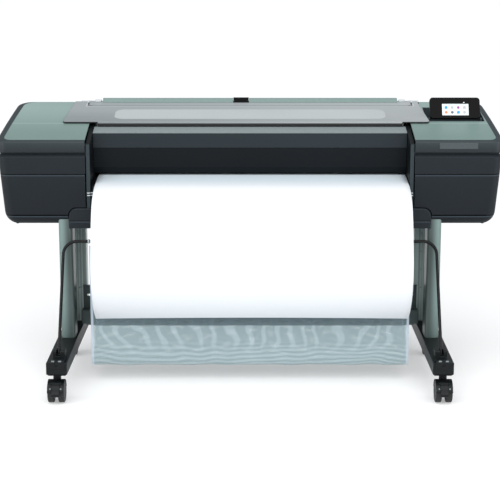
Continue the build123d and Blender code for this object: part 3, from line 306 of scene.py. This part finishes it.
def open_weave(name, half_width):
    """Basket mesh: round threads both ways with open holes, and a closed selvedge."""
    s = Shader(name, 0.6, specular=0.3, sheen=0.25)
    s.bsdf.inputs["Sheen Roughness"].default_value = 0.5
    across = s.axis(s.place, 0)
    uv = s.tree.nodes.new("ShaderNodeUVMap")
    uv.uv_map = "cloth"
    along = s.axis(uv.outputs[0], 1)
    pitch = 1.9 * MM

    def thread(value, share):
        phase = s.math("FRACT", s.math("DIVIDE", value, pitch))
        offset = s.math("ABSOLUTE", s.math("SUBTRACT", phase, 0.5))
        return s.band(offset, share, share + 0.08, 1.0, 0.0)

    sway = s.noise(16, 2.0, (1, 1, 2.5))
    shifted = s.math("ADD", across, s.math("MULTIPLY", sway, 1.2 * MM))
    warp = thread(shifted, 0.27)
    weft = thread(s.math("ADD", along, s.math("MULTIPLY", sway, 0.8 * MM)), 0.25)
    woven = s.math("MAXIMUM", warp, weft)
    selvedge = s.band(s.math("ABSOLUTE", across), half_width - 0.010, half_width - 0.008)
    cover = s.math("MAXIMUM", woven, selvedge)
    drift = s.noise(3.4, 2.0, (1, 1, 1.3))
    upright = s.math("SINE", s.math("MULTIPLY_ADD", across, 105.0, s.math("MULTIPLY", drift, 34.0)))
    level = s.math("SINE", s.math("MULTIPLY_ADD", along, 340.0, s.math("MULTIPLY", drift, 40.0)))
    height = s.band(s.axis(s.place, 2), 0.10, 0.17)
    upright = s.band(upright, 0.1, 1.0, -0.6, 1.0)
    waves = s.math("ADD", s.math("MULTIPLY", upright, height),
                   s.math("MULTIPLY", level, s.math("SUBTRACT", 1.0, height)))
    body = s.mix(s.band(waves, -1.0, 1.0), tone(144, 162, 166), tone(166, 184, 188))
    # Painted shade: the sling's front wall is darkened above a sharp line, behind the hanging sheet.
    front_wall_shade = s.math("MULTIPLY", s.band(s.axis(s.place, 2), 0.211, 0.214),
                  s.band(s.axis(s.place, 1), -0.06, -0.05, 1.0, 0.0))
    body = s.mix(s.math("MULTIPLY", front_wall_shade, 0.9), body, tone(84, 102, 108))
    s.colour(s.mix(s.math("MULTIPLY", selvedge, 0.7), body, tone(186, 198, 210)))
    s.link(cover, s.bsdf.inputs["Alpha"])
    s.bump(woven, 0.5, 0.4 * MM)
    return s.material


def glowing(name, base, strength=1.0):
    """A lit patch of the display, with the faint grid of its dots."""
    s = Shader(name, 0.25)
    base = tone(*base)
    grid = s.noise(1500, 1.0)
    s.colour(s.mix(s.band(grid, 0.3, 0.7), scaled(base, 0.94), base))
    s.bsdf.inputs["Emission Color"].default_value = base
    s.bsdf.inputs["Emission Strength"].default_value = strength
    return s.material


def lid_plastic(name):
    """Silver-grey satin lid: fine lengthwise sheen, painted shade to the left and on the edges
    all round, and a painted highlight beside the roll cover.
    """
    s = Shader(name, 0.34, specular=0.4)
    low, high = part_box("top_cover")
    # Painted shade: the lid darkens towards its left end.
    across = s.band(s.axis(s.place, 0), low.x, high.x)
    streak = s.noise(9, 3.0, (0.6, 14, 14))
    grains = s.noise(700, 2.0)
    base = s.mix(across, tone(128, 134, 137), tone(160, 165, 166))
    body = s.mix(s.band(streak, 0.3, 0.7, 0.0, 0.35), base, tone(144, 150, 152))
    rear = s.band(s.axis(s.place, 1), low.y + 0.02, low.y + 0.16)
    body = s.mix(s.math("MULTIPLY", rear, 0.4), body, tone(170, 175, 177))
    notch_low, notch_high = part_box("roll_cover")
    aside = s.math("SUBTRACT", s.math("ABSOLUTE", s.axis(s.place, 0)), notch_high.x)
    ahead = s.math("SUBTRACT", notch_low.y, s.axis(s.place, 1))
    away = s.math("MAXIMUM", aside, ahead)
    # Painted highlight: a pale band a few millimetres outside the roll cover's outline, beyond the dark gap
    # line.
    bead_highlight = s.stripe(away, 3.5 * MM, 4.5 * MM, 9 * MM, 10 * MM)
    body = s.mix(s.math("MULTIPLY", bead_highlight, 0.8), body, tone(186, 191, 193))
    groove = s.stripe(away, -0.5 * MM, 0.0, 3.5 * MM, 4.0 * MM)
    body = s.mix(s.math("MULTIPLY", groove, 0.85), body, tone(40, 44, 47))
    # Painted shade: faces that do not face upwards go near black, except the upper front face between the
    # cheeks.
    edge = s.band(s.axis(s.true_normal, 2), 0.45, 0.8, 1.0, 0.0)
    nose = s.band(s.axis(s.true_normal, 1), -0.9, -0.6, 1.0, 0.0)
    upper = s.band(s.axis(s.place, 2), low.z + 9 * MM, low.z + 10 * MM)
    between = s.band(s.math("ABSOLUTE", s.axis(s.place, 0)), LIP_HALF - 1 * MM, LIP_HALF, 1.0, 0.0)
    upper = s.math("MULTIPLY", upper, between)
    edge = s.math("MULTIPLY", edge, s.math("SUBTRACT", 1.0, s.math("MULTIPLY", nose, upper)))
    near, rounded = s.edges(2.0 * MM)
    # Painted shade: rounded edges go near black too, except between the cheeks.
    rim = s.math("MULTIPLY", near, s.math("SUBTRACT", 1.0, between))
    s.colour(s.mix(s.math("MAXIMUM", edge, rim), body, tone(17, 19, 21)))
    s.roughness(s.band(grains, 0.25, 0.75, 0.3, 0.38))
    s.bump(grains, 0.18, 0.1 * MM, rounded)
    return s.material


def sage_plastic(name):
    """Sage inset of the caps: lighter to the rear as painted shade, and a painted highlight
    along a soft crease across it.
    """
    s = Shader(name, 0.4, specular=0.4)
    y = s.axis(s.place, 1)
    # Painted shade: the inset darkens towards its front.
    rear = s.band(y, -0.06, 0.30)
    grains = s.noise(650, 2.0)
    cloud = s.noise(2.7, 3.0)
    body = s.mix(rear, tone(104, 126, 121), tone(140, 162, 157))
    body = s.mix(s.band(cloud, 0.3, 0.7, 0.0, 0.4), body, tone(122, 145, 140))
    # Painted highlight: a pale line along a soft crease across the inset.
    crease = s.band(s.math("ABSOLUTE", s.math("SUBTRACT", y, 0.108)), 0.0, 0.005, 1.0, 0.0)
    body = s.mix(s.math("MULTIPLY", crease, 0.45), body, tone(176, 194, 190))
    near, rounded = s.edges(2.2 * MM)
    s.colour(s.mix(near, body, tone(17, 21, 22)))
    s.roughness(s.band(grains, 0.25, 0.75, 0.36, 0.46))
    s.bump(grains, 0.25, 0.1 * MM, rounded)
    return s.material


def leg_sheet(name, base):
    """Painted column: long vertical draw lines in the extruded face."""
    s = Shader(name, 0.36, specular=0.4)
    base = tone(*base)
    lines = s.noise(9, 3.0, (34, 1, 0.05))
    cloud = s.noise(4, 3.0)
    body = s.mix(s.band(lines, 0.38, 0.62), scaled(base, 0.66), scaled(base, 1.2))
    body = s.mix(s.band(cloud, 0.3, 0.7, 0.0, 0.3), body, base)
    near, rounded = s.edges(1.6 * MM)
    # Painted highlight: the colour is lightened near edges.
    s.colour(s.mix(s.math("MULTIPLY", near, 0.5), body, scaled(base, 1.4)))
    s.roughness(s.band(lines, 0.3, 0.7, 0.3, 0.42))
    s.bump(lines, 0.2, 0.2 * MM, rounded)
    return s.material


def leg_shell(name, base):
    """Sage moulded leg cover: a painted sheen down its middle, painted shade on its sides
    and towards the foot, and a painted highlight on its edges.
    """
    s = Shader(name, 0.34, specular=0.45)
    low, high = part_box("leg_cover_right")
    base = tone(*base)
    out = s.math("ABSOLUTE", s.axis(s.place, 0))
    # Painted light and shade: a sheen across the middle of the cover, falling off to a dark inner side and a
    # dimmer outer side.
    sheen = s.band(out, low.x + 0.012, low.x + 0.042)
    sheen = s.math("MULTIPLY", sheen, s.band(out, high.x - 0.012, high.x, 1.0, 0.55))
    # Painted shade: darker towards the foot.
    foot = s.band(s.axis(s.place, 2), low.z, low.z + 0.16, 0.6, 1.0)
    cloud = s.noise(3.1, 4.0)
    grains = s.noise(620, 2.0)
    body = s.mix(s.math("MULTIPLY", sheen, foot), scaled(base, 0.3), scaled(base, 1.25))
    body = s.mix(s.band(cloud, 0.3, 0.7, 0.0, 0.12), body, base)
    near, rounded = s.edges(3.0 * MM)
    # Painted highlight: the colour is lightened near edges.
    s.colour(s.mix(s.math("MULTIPLY", near, 0.4), body, scaled(base, 1.6)))
    s.roughness(s.band(grains, 0.25, 0.75, 0.31, 0.42))
    s.bump(grains, 0.3, 0.15 * MM, rounded)
    return s.material


def paint(material, *names):
    """Gives solid parts a material."""
    for name in names:
        slots = nodes[name].data.materials
        slots.clear()
        slots.append(material)


def both(*names):
    return [f"{name}_{side}" for name in names for side in ("left", "right")]


# ---- materials of the solid parts ----------------------------------------------------
door_low, door_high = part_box("ink_door_left")
shell_low, shell_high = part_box("tower_shell_left")
cap_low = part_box("tower_cap_left")[0]
# Heights of the dark joint lines on the shells and doors, each with a painted highlight below it.
shell_seams = (door_low.z, door_high.z, shell_high.z + 1.0 * MM)
# Painted shade: slate darkens towards the shells' lower edge.
slate = moulded("slate_plastic", (28, 34, 39), 0.5, edge_highlight=6.0, radius=2.0, specular=0.15,
                lower_shade=(shell_low.z, shell_high.z + 0.05, 0.72), seams=shell_seams)
# Painted shade: slate_light darkens towards the caps' lower edge.
slate_light = moulded("slate_light_plastic", (49, 57, 61), 0.42, edge_highlight=2.4, radius=2.4, specular=0.2,
                      lower_shade=(cap_low.z, cap_low.z + 0.055, 0.36))
# Painted light: the cheeks' forward-facing faces get a lighter colour.
cheek = moulded("cheek_plastic", (13, 17, 19), 0.45, edge_highlight=5.0, specular=0.15, front=(50, 60, 64))
housing_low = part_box("lower_housing")[0]
# One dark joint line across the lower housing, with a painted highlight below it.
housing = moulded("housing_plastic", (26, 32, 37), 0.45, edge_highlight=8.0, radius=3.0, specular=0.18,
                  seams=(housing_low.z + 0.027,))
black = moulded("black_plastic", (11, 14, 16), 0.45, edge_highlight=5.0, specular=0.15)
black_satin = moulded("black_satin_plastic", (7, 8, 9), 0.32, 900, 0.15, edge_highlight=5.0, specular=0.12)
leg_plastic = leg_shell("leg_plastic", (104, 123, 120))
leg_paint = leg_sheet("leg_paint", (196, 214, 210))
beam_paint = painted("beam_paint", (74, 88, 88), 0.38)
dark_sheet = painted("dark_sheet_paint", (58, 62, 65), 0.45)
nylon = moulded("nylon", (14, 18, 20), 0.42, edge_highlight=6.0, specular=0.2)
steel = brushed("rolled_steel", (178, 180, 182))
zinc = brushed("zinc_plate", (190, 190, 186), 0.4, (30, 30, 1))
tube_enamel = painted("tube_enamel", (7, 8, 10), 0.22, peel=90, specular=0.2)
wheel_grey = rubber("wheel_grey", (17, 19, 20), (27, 31, 33))
drive_rubber = rubber("drive_rubber", (20, 20, 21), (28, 29, 30), 0.75)
white_roll = wound_paper("wound_paper")
# Painted light: the guide's upward faces are lighter.
guide_green = moulded("guide_plastic", (84, 104, 101), 0.36, edge_highlight=1.5, top_lit=(128, 148, 144))
lid_grey = lid_plastic("lid_plastic")
sage = sage_plastic("sage_plastic")
window = moulded("window_plastic", (182, 188, 188), 0.3, 800, 0.1, edge_highlight=1.1, radius=0.8, vary=0.03)
# Painted light: the cover's upward faces are lighter.
cover = moulded("front_cover_plastic", (33, 41, 46), 0.42, edge_highlight=2.2, top_lit=(142, 152, 154), specular=0.2)
lip = moulded("front_lip_plastic", (15, 20, 24), 0.45, edge_highlight=2.8, specular=0.12)
plate = moulded("plate_plastic", (58, 66, 70), 0.3, 500, 0.1, edge_highlight=1.4, radius=0.6)
glass = moulded("panel_glass", (3, 3, 4), 0.08, 300, 0.0, edge_highlight=2.0, specular=0.08, vary=0.2)
ink_body = moulded("cartridge_plastic", (20, 22, 24), 0.4, edge_highlight=2.5)

paint(slate, *both("tower_shell", "ink_door"))
paint(housing, "lower_housing")
paint(slate_light, *both("tower_cap"))
paint(cheek, *both("inner_wall"))
paint(black, "output_platen", "carriage", "spindle", "power_inlet", "power_switch")
paint(black_satin, "touch_panel", "cover_latch")
paint(leg_plastic, *both("leg_cover"))
paint(leg_paint, "leg_columns")
paint(beam_paint, "cross_beam", "cross_panel")
paint(dark_sheet, "base_pan", "rear_panel", *both("side_frame"))
paint(nylon, *both("foot", "front_caster_fork", "caster_brake"), "tube_clips")
paint(steel, "carriage_rail", "feed_motor", "motor_pinion", "cover_hinges")
paint(zinc, *both("rear_caster_fork"))
paint(tube_enamel, "basket_tube")
paint(wheel_grey, *both("front_caster_wheels", "rear_caster_wheel"))
paint(drive_rubber, "drive_roller", "carriage_belt")
paint(white_roll, "paper_roll")
paint(guide_green, "loading_guide")
paint(lid_grey, "top_cover", "roll_cover")
paint(window, "window_strip")
paint(sage, *both("cap_inset"))
paint(cover, "front_cover")
paint(lip, "front_lip")
paint(plate, "name_plate")
paint(glass, "touch_screen")
paint(ink_body, "ink_cartridges", "printheads")


# ---- mesh helpers --------------------------------------------------------------------
def piece(name, mesh, body, material, smooth=True):
    """An object made of a mesh, which rides on a body."""
    made = bpy.data.objects.new(name, mesh)
    bpy.context.scene.collection.objects.link(made)
    mesh.materials.append(material)
    for polygon in mesh.polygons:
        polygon.use_smooth = smooth
    if body is not None:
        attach(made, body)
    return made


def from_bmesh(name, bm):
    mesh = bpy.data.meshes.new(name)
    bmesh.ops.recalc_face_normals(bm, faces=bm.faces)
    bm.to_mesh(mesh)
    bm.free()
    return mesh


def smooth_line(points, count, offset):
    """Even points on a natural cubic spline through (Y, Z) points in millimetres.

    The line is moved by the offset towards its left. It returns metres.
    """
    p = np.array(points, float)
    t = np.concatenate([[0], np.cumsum(np.hypot(*np.diff(p, axis=0).T))])
    n = len(t)
    h = np.diff(t)
    system = np.eye(n)
    right = np.zeros((n, 2))
    for i in range(1, n - 1):
        system[i, i - 1 : i + 2] = h[i - 1], 2 * (h[i - 1] + h[i]), h[i]
        right[i] = 6 * ((p[i + 1] - p[i]) / h[i] - (p[i] - p[i - 1]) / h[i - 1])
    second = np.linalg.solve(system, right)

    def at(values):
        i = np.clip(np.searchsorted(t, values) - 1, 0, n - 2)
        a = ((t[i + 1] - values) / h[i])[:, None]
        b = 1 - a
        curve = (a**3 - a) * second[i] + (b**3 - b) * second[i + 1]
        return a * p[i] + b * p[i + 1] + curve * (h[i] ** 2)[:, None] / 6

    fine = at(np.linspace(0, t[-1], 2000))
    length = np.concatenate([[0], np.cumsum(np.hypot(*np.diff(fine, axis=0).T))])
    even = np.linspace(0, length[-1], count)
    line = np.column_stack([np.interp(even, length, fine[:, k]) for k in (0, 1)])
    along = np.gradient(line, axis=0)
    along /= np.hypot(*along.T)[:, None]
    left = np.column_stack([-along[:, 1], along[:, 0]])
    return (line + left * offset) * MM, left, even * MM


def cloth_grid(name, line, left, run, low, high, columns, shift):
    """A sheet along X that follows a line. shift(u, v) moves each point off the line, in metres."""
    xs = np.linspace(low, high, columns)
    verts = []
    for j, (y, z) in enumerate(line):
        for i, x in enumerate(xs):
            d = shift(i / (columns - 1), j / (len(line) - 1))
            verts.append((x, y + left[j, 0] * d, z + left[j, 1] * d))
    faces = []
    for j in range(len(line) - 1):
        for i in range(columns - 1):
            a = j * columns + i
            faces.append((a, a + 1, a + columns + 1, a + columns))
    mesh = bpy.data.meshes.new(name)
    mesh.from_pydata(verts, [], faces)
    layer = mesh.uv_layers.new(name="cloth")
    for loop in mesh.loops:
        j, i = divmod(loop.vertex_index, columns)
        layer.data[loop.index].uv = (xs[i], run[j])
    mesh.update()
    return mesh


def rounded_plate(bm, origin, right, up, width, height, radius, thickness, steps=6):
    """A thin plate with round corners, standing on a plane through origin."""
    out = right.cross(up)
    ring = []
    for cx, cy, start in ((1, 1, 0), (-1, 1, 90), (-1, -1, 180), (1, -1, 270)):
        for k in range(steps + 1):
            a = math.radians(start + 90 * k / steps)
            x = cx * (width / 2 - radius) + radius * math.cos(a)
            y = cy * (height / 2 - radius) + radius * math.sin(a)
            ring.append(origin + right * x + up * y)
    low = [bm.verts.new(p) for p in ring]
    high = [bm.verts.new(p + out * thickness) for p in ring]
    bm.faces.new(high)
    bm.faces.new(list(reversed(low)))
    for i in range(len(ring)):
        k = (i + 1) % len(ring)
        bm.faces.new((low[i], low[k], high[k], high[i]))


def turned(bm, profile, origin, axis, steps=28):
    """A closed turned form: profile is (distance along the axis, radius) pairs."""
    axis = Vector(axis).normalized()
    side = axis.orthogonal().normalized()
    other = axis.cross(side)
    rings = []
    for along, radius in profile:
        ring = []
        for k in range(steps):
            a = 2 * math.pi * k / steps
            point = origin + axis * along + (side * math.cos(a) + other * math.sin(a)) * radius
            ring.append(bm.verts.new(point))
        rings.append(ring)
    for first, second in zip(rings, rings[1:]):
        for k in range(steps):
            m = (k + 1) % steps
            bm.faces.new((first[k], first[m], second[m], second[k]))
    bm.faces.new(list(reversed(rings[0])))
    bm.faces.new(rings[-1])


def point_mm(x, y, z):
    """A point from millimetres."""
    return Vector((x * MM, y * MM, z * MM))


# ---- the hanging sheet ---------------------------------------------------------------
# Lines are (Y, Z) points in millimetres.
PAPER_LINE = [
    (226.4, 848), (220, 806), (207, 763), (185, 742.2), (110, 742), (60, 741), (0, 736), (-61, 728),
    (-110, 719), (-155, 702), (-189, 679), (-213, 648), (-232, 612), (-250, 560), (-268, 500),
    (-276, 450), (-269, 400), (-246, 350), (-207, 303), (-142, 256),
]
paper_low, paper_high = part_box("output_paper")
line, left, run = smooth_line(PAPER_LINE, 150, -0.3)


def paper_shift(u, v):
    """The sheet's free end bows a little across its width and lifts at its corners."""
    free = max(0.0, (v - 0.45) / 0.55) ** 2
    across = 2 * u - 1
    return free * (1.6 * MM * math.cos(across * 2.2) - 1.2 * MM * across**4)


paper_mesh = cloth_grid("hanging_sheet", line, left, run, paper_low.x, paper_high.x, 48, paper_shift)
sheet = piece("hanging_sheet", paper_mesh, "frame", coated_paper("coated_paper"))
thick = sheet.modifiers.new("thickness", "SOLIDIFY")
thick.thickness = 0.5 * MM
thick.offset = 0
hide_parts("output_paper")

# ---- basket --------------------------------------------------------------------------
MESH_LINE = [
    (-80, 508), (-85, 460), (-86, 300), (-86, 120), (-74, 62), (-30, 62), (45, 142), (110, 214), (176, 256),
]
mesh_low, mesh_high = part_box("basket_mesh")
line, left, run = smooth_line(MESH_LINE, 110, 1.0)


def mesh_shift(u, v):
    """Soft lengthwise ripples, which die out at the two hems."""
    hold = math.sin(math.pi * min(max(v, 0.0), 1.0)) ** 0.6
    ripple = math.sin(u * 37 + 2.1 * math.sin(v * 5.0)) + 0.6 * math.sin(u * 61 + v * 7.0)
    return hold * ripple * 1.1 * MM


basket_mesh = cloth_grid("mesh_sling", line, left, run, mesh_low.x, mesh_high.x, 140, mesh_shift)
sling = piece("mesh_sling", basket_mesh, None, open_weave("open_weave", mesh_high.x))
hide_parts("basket_mesh")
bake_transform(sling)

tube_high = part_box("basket_tube")[1]
TUBE_R = 5.5 * MM
bar_y = tube_high.y - TUBE_R
bar_z = tube_high.z - TUBE_R
bm = bmesh.new()
hem_half = mesh_high.x - 0.004
hem_form = [
    (0, 6.1 * MM), (1.5 * MM, 6.9 * MM), (2 * hem_half - 1.5 * MM, 6.9 * MM), (2 * hem_half, 6.1 * MM),
]
turned(bm, hem_form, Vector((-hem_half, bar_y, bar_z)), (1, 0, 0))
hem_cloth = moulded("hem_cloth", (150, 164, 170), 0.7, 380, 0.6, edge_highlight=1.1, radius=0.5)
hem = piece("basket_hem", from_bmesh("basket_hem", bm), "basket_frame", hem_cloth)
collar_form = [(0, 6.6 * MM), (0.8 * MM, 8.2 * MM), (5.2 * MM, 8.2 * MM), (6 * MM, 6.6 * MM)]
bm = bmesh.new()
for side in (-1, 1):
    start = Vector((side * (hem_half + 2 * MM), bar_y, bar_z))
    turned(bm, collar_form, start, (side, 0, 0))
collars = piece("tube_collars", from_bmesh("tube_collars", bm), "basket_frame",
                moulded("pale_nylon", (176, 182, 184), 0.4, edge_highlight=1.1, radius=0.6))

# ---- touch panel's display -----------------------------------------------------------
PANEL_TILT = 25  # degrees back from upright
tilt = math.radians(PANEL_TILT)
panel_right = Vector((1, 0, 0))
panel_up = Vector((0, math.sin(tilt), math.cos(tilt)))
panel_out = panel_right.cross(panel_up)
glass_low, glass_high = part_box("touch_screen")
glass_middle = (glass_low + glass_high) / 2
face = glass_middle + panel_out * 0.75 * MM


def display_plate(name, spots, material, lift):
    """Thin plates on the glass: spots are (across, up, width, height, radius) in millimetres."""
    bm = bmesh.new()
    for across, up, width, height, radius in spots:
        origin = face + panel_right * across * MM + panel_up * up * MM + panel_out * lift * MM
        rounded_plate(bm, origin, panel_right, panel_up, width * MM, height * MM, radius * MM, 0.08 * MM)
    made = piece(name, from_bmesh(name, bm), "panel", material, smooth=False)
    return made


SCREEN_X = 1.5
SCREEN_Z = -7.5
display_plate("display", [(SCREEN_X, SCREEN_Z, 97, 44, 1.0)],
              glowing("display_white", (206, 212, 212), 0.25), 0.0)
cells = [(SCREEN_X - 34 + 22.5 * i, SCREEN_Z + 8 - 18.5 * j) for j in (0, 1) for i in range(4)]
palette = {
    "display_cyan": ((10, 140, 190), (0, 6)),
    "display_orange": ((224, 120, 70), (4,)),
    "display_violet": ((150, 70, 150), (2,)),
    "display_slate": ((70, 84, 104), (5,)),
    "display_grey": ((158, 166, 172), (1, 3, 7)),
}
for name, (shade, picks) in palette.items():
    spots = [(*cells[i], 10.5, 10.5, 5.2 if i % 3 else 2.0) for i in picks]
    display_plate(name, spots, glowing(name, shade, 0.12), 0.1)
marks = [(x, z - 7.6, 12, 1.4, 0.6) for x, z in cells] + [(SCREEN_X, SCREEN_Z + 19.0, 86, 2.6, 1.0)]
display_plate("display_marks", marks, glowing("display_mark", (176, 184, 190), 0.3), 0.1)
display_plate("display_lamp", [(SCREEN_X + 32, 20.0, 5, 3.4, 1.5)],
              glowing("display_lamp", (200, 206, 208), 0.4), 0.0)


# ---- small fittings ------------------------------------------------------------------
def screw(bm, x, y, z, axis, radius=4.2):
    """A pan head with a shallow round recess."""
    origin = point_mm(x, y, z)
    axis = Vector(axis)
    r = radius * MM
    form = [(-0.2 * MM, r), (0.9 * MM, r), (1.7 * MM, r * 0.8), (2.0 * MM, r * 0.45), (1.2 * MM, r * 0.3)]
    turned(bm, form, origin, axis, 20)


rear_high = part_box("rear_panel")[1]
bm = bmesh.new()
for k in range(8):
    x = -560 + 160 * k
    for z in (592, 952):
        screw(bm, x, rear_high.y / MM, z, (0, 1, 0))
cross_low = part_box("cross_panel")[0]
for x in (-200, 200):
    screw(bm, x, cross_low.y / MM + 49, 236, (0, -1, 0), 3.6)
screws = piece("panel_screws", from_bmesh("panel_screws", bm), "frame", zinc)


def block(bm, low, high, round_off=0.8):
    """A block with chamfered edges, between two corners in millimetres."""
    made = bmesh.ops.create_cube(bm, size=1.0)
    size = Vector(high) - Vector(low)
    middle = (Vector(high) + Vector(low)) / 2
    for v in made["verts"]:
        v.co = Vector([v.co[i] * size[i] + middle[i] for i in range(3)]) * MM
    edges = list({e for v in made["verts"] for e in v.link_edges})
    bmesh.ops.bevel(bm, geom=edges, offset=round_off * MM, segments=2, affect="EDGES", profile=0.6)


pale = moulded("pale_plastic", (196, 202, 204), 0.35, 500, 0.15, edge_highlight=1.1, radius=0.5)
cheek_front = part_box("inner_wall_left")[0].y / MM
bm = bmesh.new()
for side in (-1, 1):
    for z in (687, 696):
        ends = sorted((side * 582, side * 570))
        block(bm, (ends[0], cheek_front - 2.4, z - 1.5), (ends[1], cheek_front + 0.4, z + 1.5), 0.5)
        ends = sorted((side * 570, side * 559))
        block(bm, (ends[0], cheek_front + 3, z - 1.2), (ends[1], cheek_front + 12, z + 1.2), 0.4)
ribs = piece("recess_ribs", from_bmesh("recess_ribs", bm), "frame", pale)

clip_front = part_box("tube_clips")[0].y / MM
CLIP_X = 667
bm = bmesh.new()
for side in (-1, 1):
    for offset in (-12, 12):
        x = side * CLIP_X + offset
        block(bm, (x - 5.4, clip_front - 0.3, 157.0), (x + 5.4, clip_front + 9, 161.0), 0.7)
grey_nylon = moulded("grey_nylon", (118, 126, 128), 0.42, 520, 0.2, edge_highlight=1.2, radius=0.5)
tabs = piece("clip_tabs", from_bmesh("clip_tabs", bm), "frame", grey_nylon)

CASTER_X = 674
STUD_OFFSET = 18.5
STUD_SPOT = (-355.0, 57.5)  # Y and Z
stud_form = [(-2 * MM, 2.8 * MM), (0.5 * MM, 2.8 * MM), (1.0 * MM, 2.0 * MM)]
for side, sign in (("left", -1), ("right", 1)):
    bm = bmesh.new()
    for offset in (-STUD_OFFSET, STUD_OFFSET):
        spot = point_mm(sign * CASTER_X + offset, *STUD_SPOT)
        turned(bm, stud_form, spot, (0, -0.9, 0.44), 18)
    studs = piece(f"brake_studs_{side}", from_bmesh("brake_studs", bm), f"{side}_front_caster", grey_nylon)

LID_PIN_Y = 351
LID_PIN_Z = 977


def hood(bm, low_x, high_x, inner, outer, start, end, steps=18):
    """A curved hood round the lid's pin, between two angles in degrees from the rear."""
    rings = []
    for x, trim in ((low_x, 0.5), (low_x + 0.5, 0.0), (high_x - 0.5, 0.0), (high_x, 0.5)):
        ring = []
        for radius, turn in ((outer - trim, 1), (inner, -1)):
            for k in range(steps + 1)[::turn]:
                a = math.radians(start + (end - start) * k / steps)
                y = LID_PIN_Y + radius * math.cos(a)
                z = LID_PIN_Z + radius * math.sin(a)
                ring.append(bm.verts.new(point_mm(x, y, z)))
        rings.append(ring)
    count = len(rings[0])
    for first, second in zip(rings, rings[1:]):
        for k in range(count):
            m = (k + 1) % count
            bm.faces.new((first[k], first[m], second[m], second[k]))
    for ring in (rings[0], rings[-1]):
        for k in range(steps):
            bm.faces.new((ring[k], ring[k + 1], ring[count - 2 - k], ring[count - 1 - k]))


bm = bmesh.new()
for side in (-1, 1):
    low_x, high_x = sorted((side * 605, side * 643))
    hood(bm, low_x, high_x, 5.8, 7.6, 42, 176)
    low_x, high_x = sorted((side * 609, side * 617))
    block(bm, (low_x, 318, 979), (high_x, 344, 985), 2.0)
caps = piece("lid_hinge_caps", from_bmesh("lid_hinge_caps", bm), "lid", pale)
bm = bmesh.new()
for side in (-1, 1):
    low_x, high_x = sorted((side * 566, side * 590))
    block(bm, (low_x, 334, 980), (high_x, 352, 988.5), 2.4)
ends = piece("guide_end_caps", from_bmesh("guide_end_caps", bm), "roll_lid", pale)


# ---- studio --------------------------------------------------------------------------
def studio_floor():
    """A wide pale floor."""
    s = Shader("studio_floor", 0.8, specular=0.1)
    tooth = s.noise(60, 2.0)
    s.colour(s.mix(s.band(tooth, 0.3, 0.7), (0.70, 0.70, 0.70, 1), (0.71, 0.71, 0.71, 1)))
    s.bsdf.inputs["Emission Color"].default_value = (1, 1, 1, 1)
    s.bsdf.inputs["Emission Strength"].default_value = 0.3
    bm = bmesh.new()
    corners = [(-120, -120), (120, -120), (120, 120), (-120, 120)]
    bm.faces.new([bm.verts.new((x, y, -0.0005)) for x, y in corners])
    mesh = from_bmesh("studio_floor", bm)
    floor = bpy.data.objects.new("studio_floor", mesh)
    bpy.context.scene.collection.objects.link(floor)
    mesh.materials.append(s.material)


def soft_light(name, place, aim, size, power):
    data = bpy.data.lights.new(name, "AREA")
    data.shape = "RECTANGLE"
    data.size, data.size_y = size
    data.energy = power
    lamp = bpy.data.objects.new(name, data)
    lamp.location = place
    lamp.rotation_euler = (Vector(aim) - Vector(place)).to_track_quat("-Z", "Y").to_euler()
    bpy.context.scene.collection.objects.link(lamp)


studio_floor()
world = bpy.data.worlds.new("studio")
world.use_nodes = True
world.node_tree.nodes["Background"].inputs[0].default_value = (0.93, 0.97, 1.0, 1)
world.node_tree.nodes["Background"].inputs[1].default_value = 0.48
seen = world.node_tree.nodes.new("ShaderNodeBackground")
seen.inputs[0].default_value = (1, 1, 1, 1)
paths = world.node_tree.nodes.new("ShaderNodeLightPath")
choice = world.node_tree.nodes.new("ShaderNodeMixShader")
world.node_tree.links.new(paths.outputs["Is Camera Ray"], choice.inputs[0])
world.node_tree.links.new(world.node_tree.nodes["Background"].outputs[0], choice.inputs[1])
world.node_tree.links.new(seen.outputs[0], choice.inputs[2])
world.node_tree.links.new(choice.outputs[0], world.node_tree.nodes["World Output"].inputs[0])
bpy.context.scene.world = world
sun_data = bpy.data.lights.new("overhead", "SUN")
sun_data.energy = 2.3
sun_data.angle = math.radians(70)
sun = bpy.data.objects.new("overhead", sun_data)
sun.rotation_euler = (math.radians(38), math.radians(-8), 0)
bpy.context.scene.collection.objects.link(sun)
soft_light("front", (0.6, -5.5, 2.6), (0, 0, 0.6), (4.5, 2.0), 60)
soft_light("left_strip", (-3.4, -1.3, 1.2), (-0.8, 0, 0.75), (0.5, 2.2), 26)
soft_light("right_strip", (3.4, -1.3, 1.2), (0.8, 0, 0.75), (0.5, 2.2), 26)
bpy.context.scene.view_settings.view_transform = "Standard"

CAMERA_PLACE = (0, -4.9976, 1.528)
CAMERA_PITCH = 78.101
camera_data = bpy.data.cameras.new("camera")
camera_data.sensor_width = 36
camera_data.lens = 100.8
camera_data.clip_end = 500
camera = bpy.data.objects.new("camera", camera_data)
camera.location = CAMERA_PLACE
camera.rotation_euler = (math.radians(CAMERA_PITCH), 0, 0)
bpy.context.scene.collection.objects.link(camera)
bpy.context.scene.camera = camera
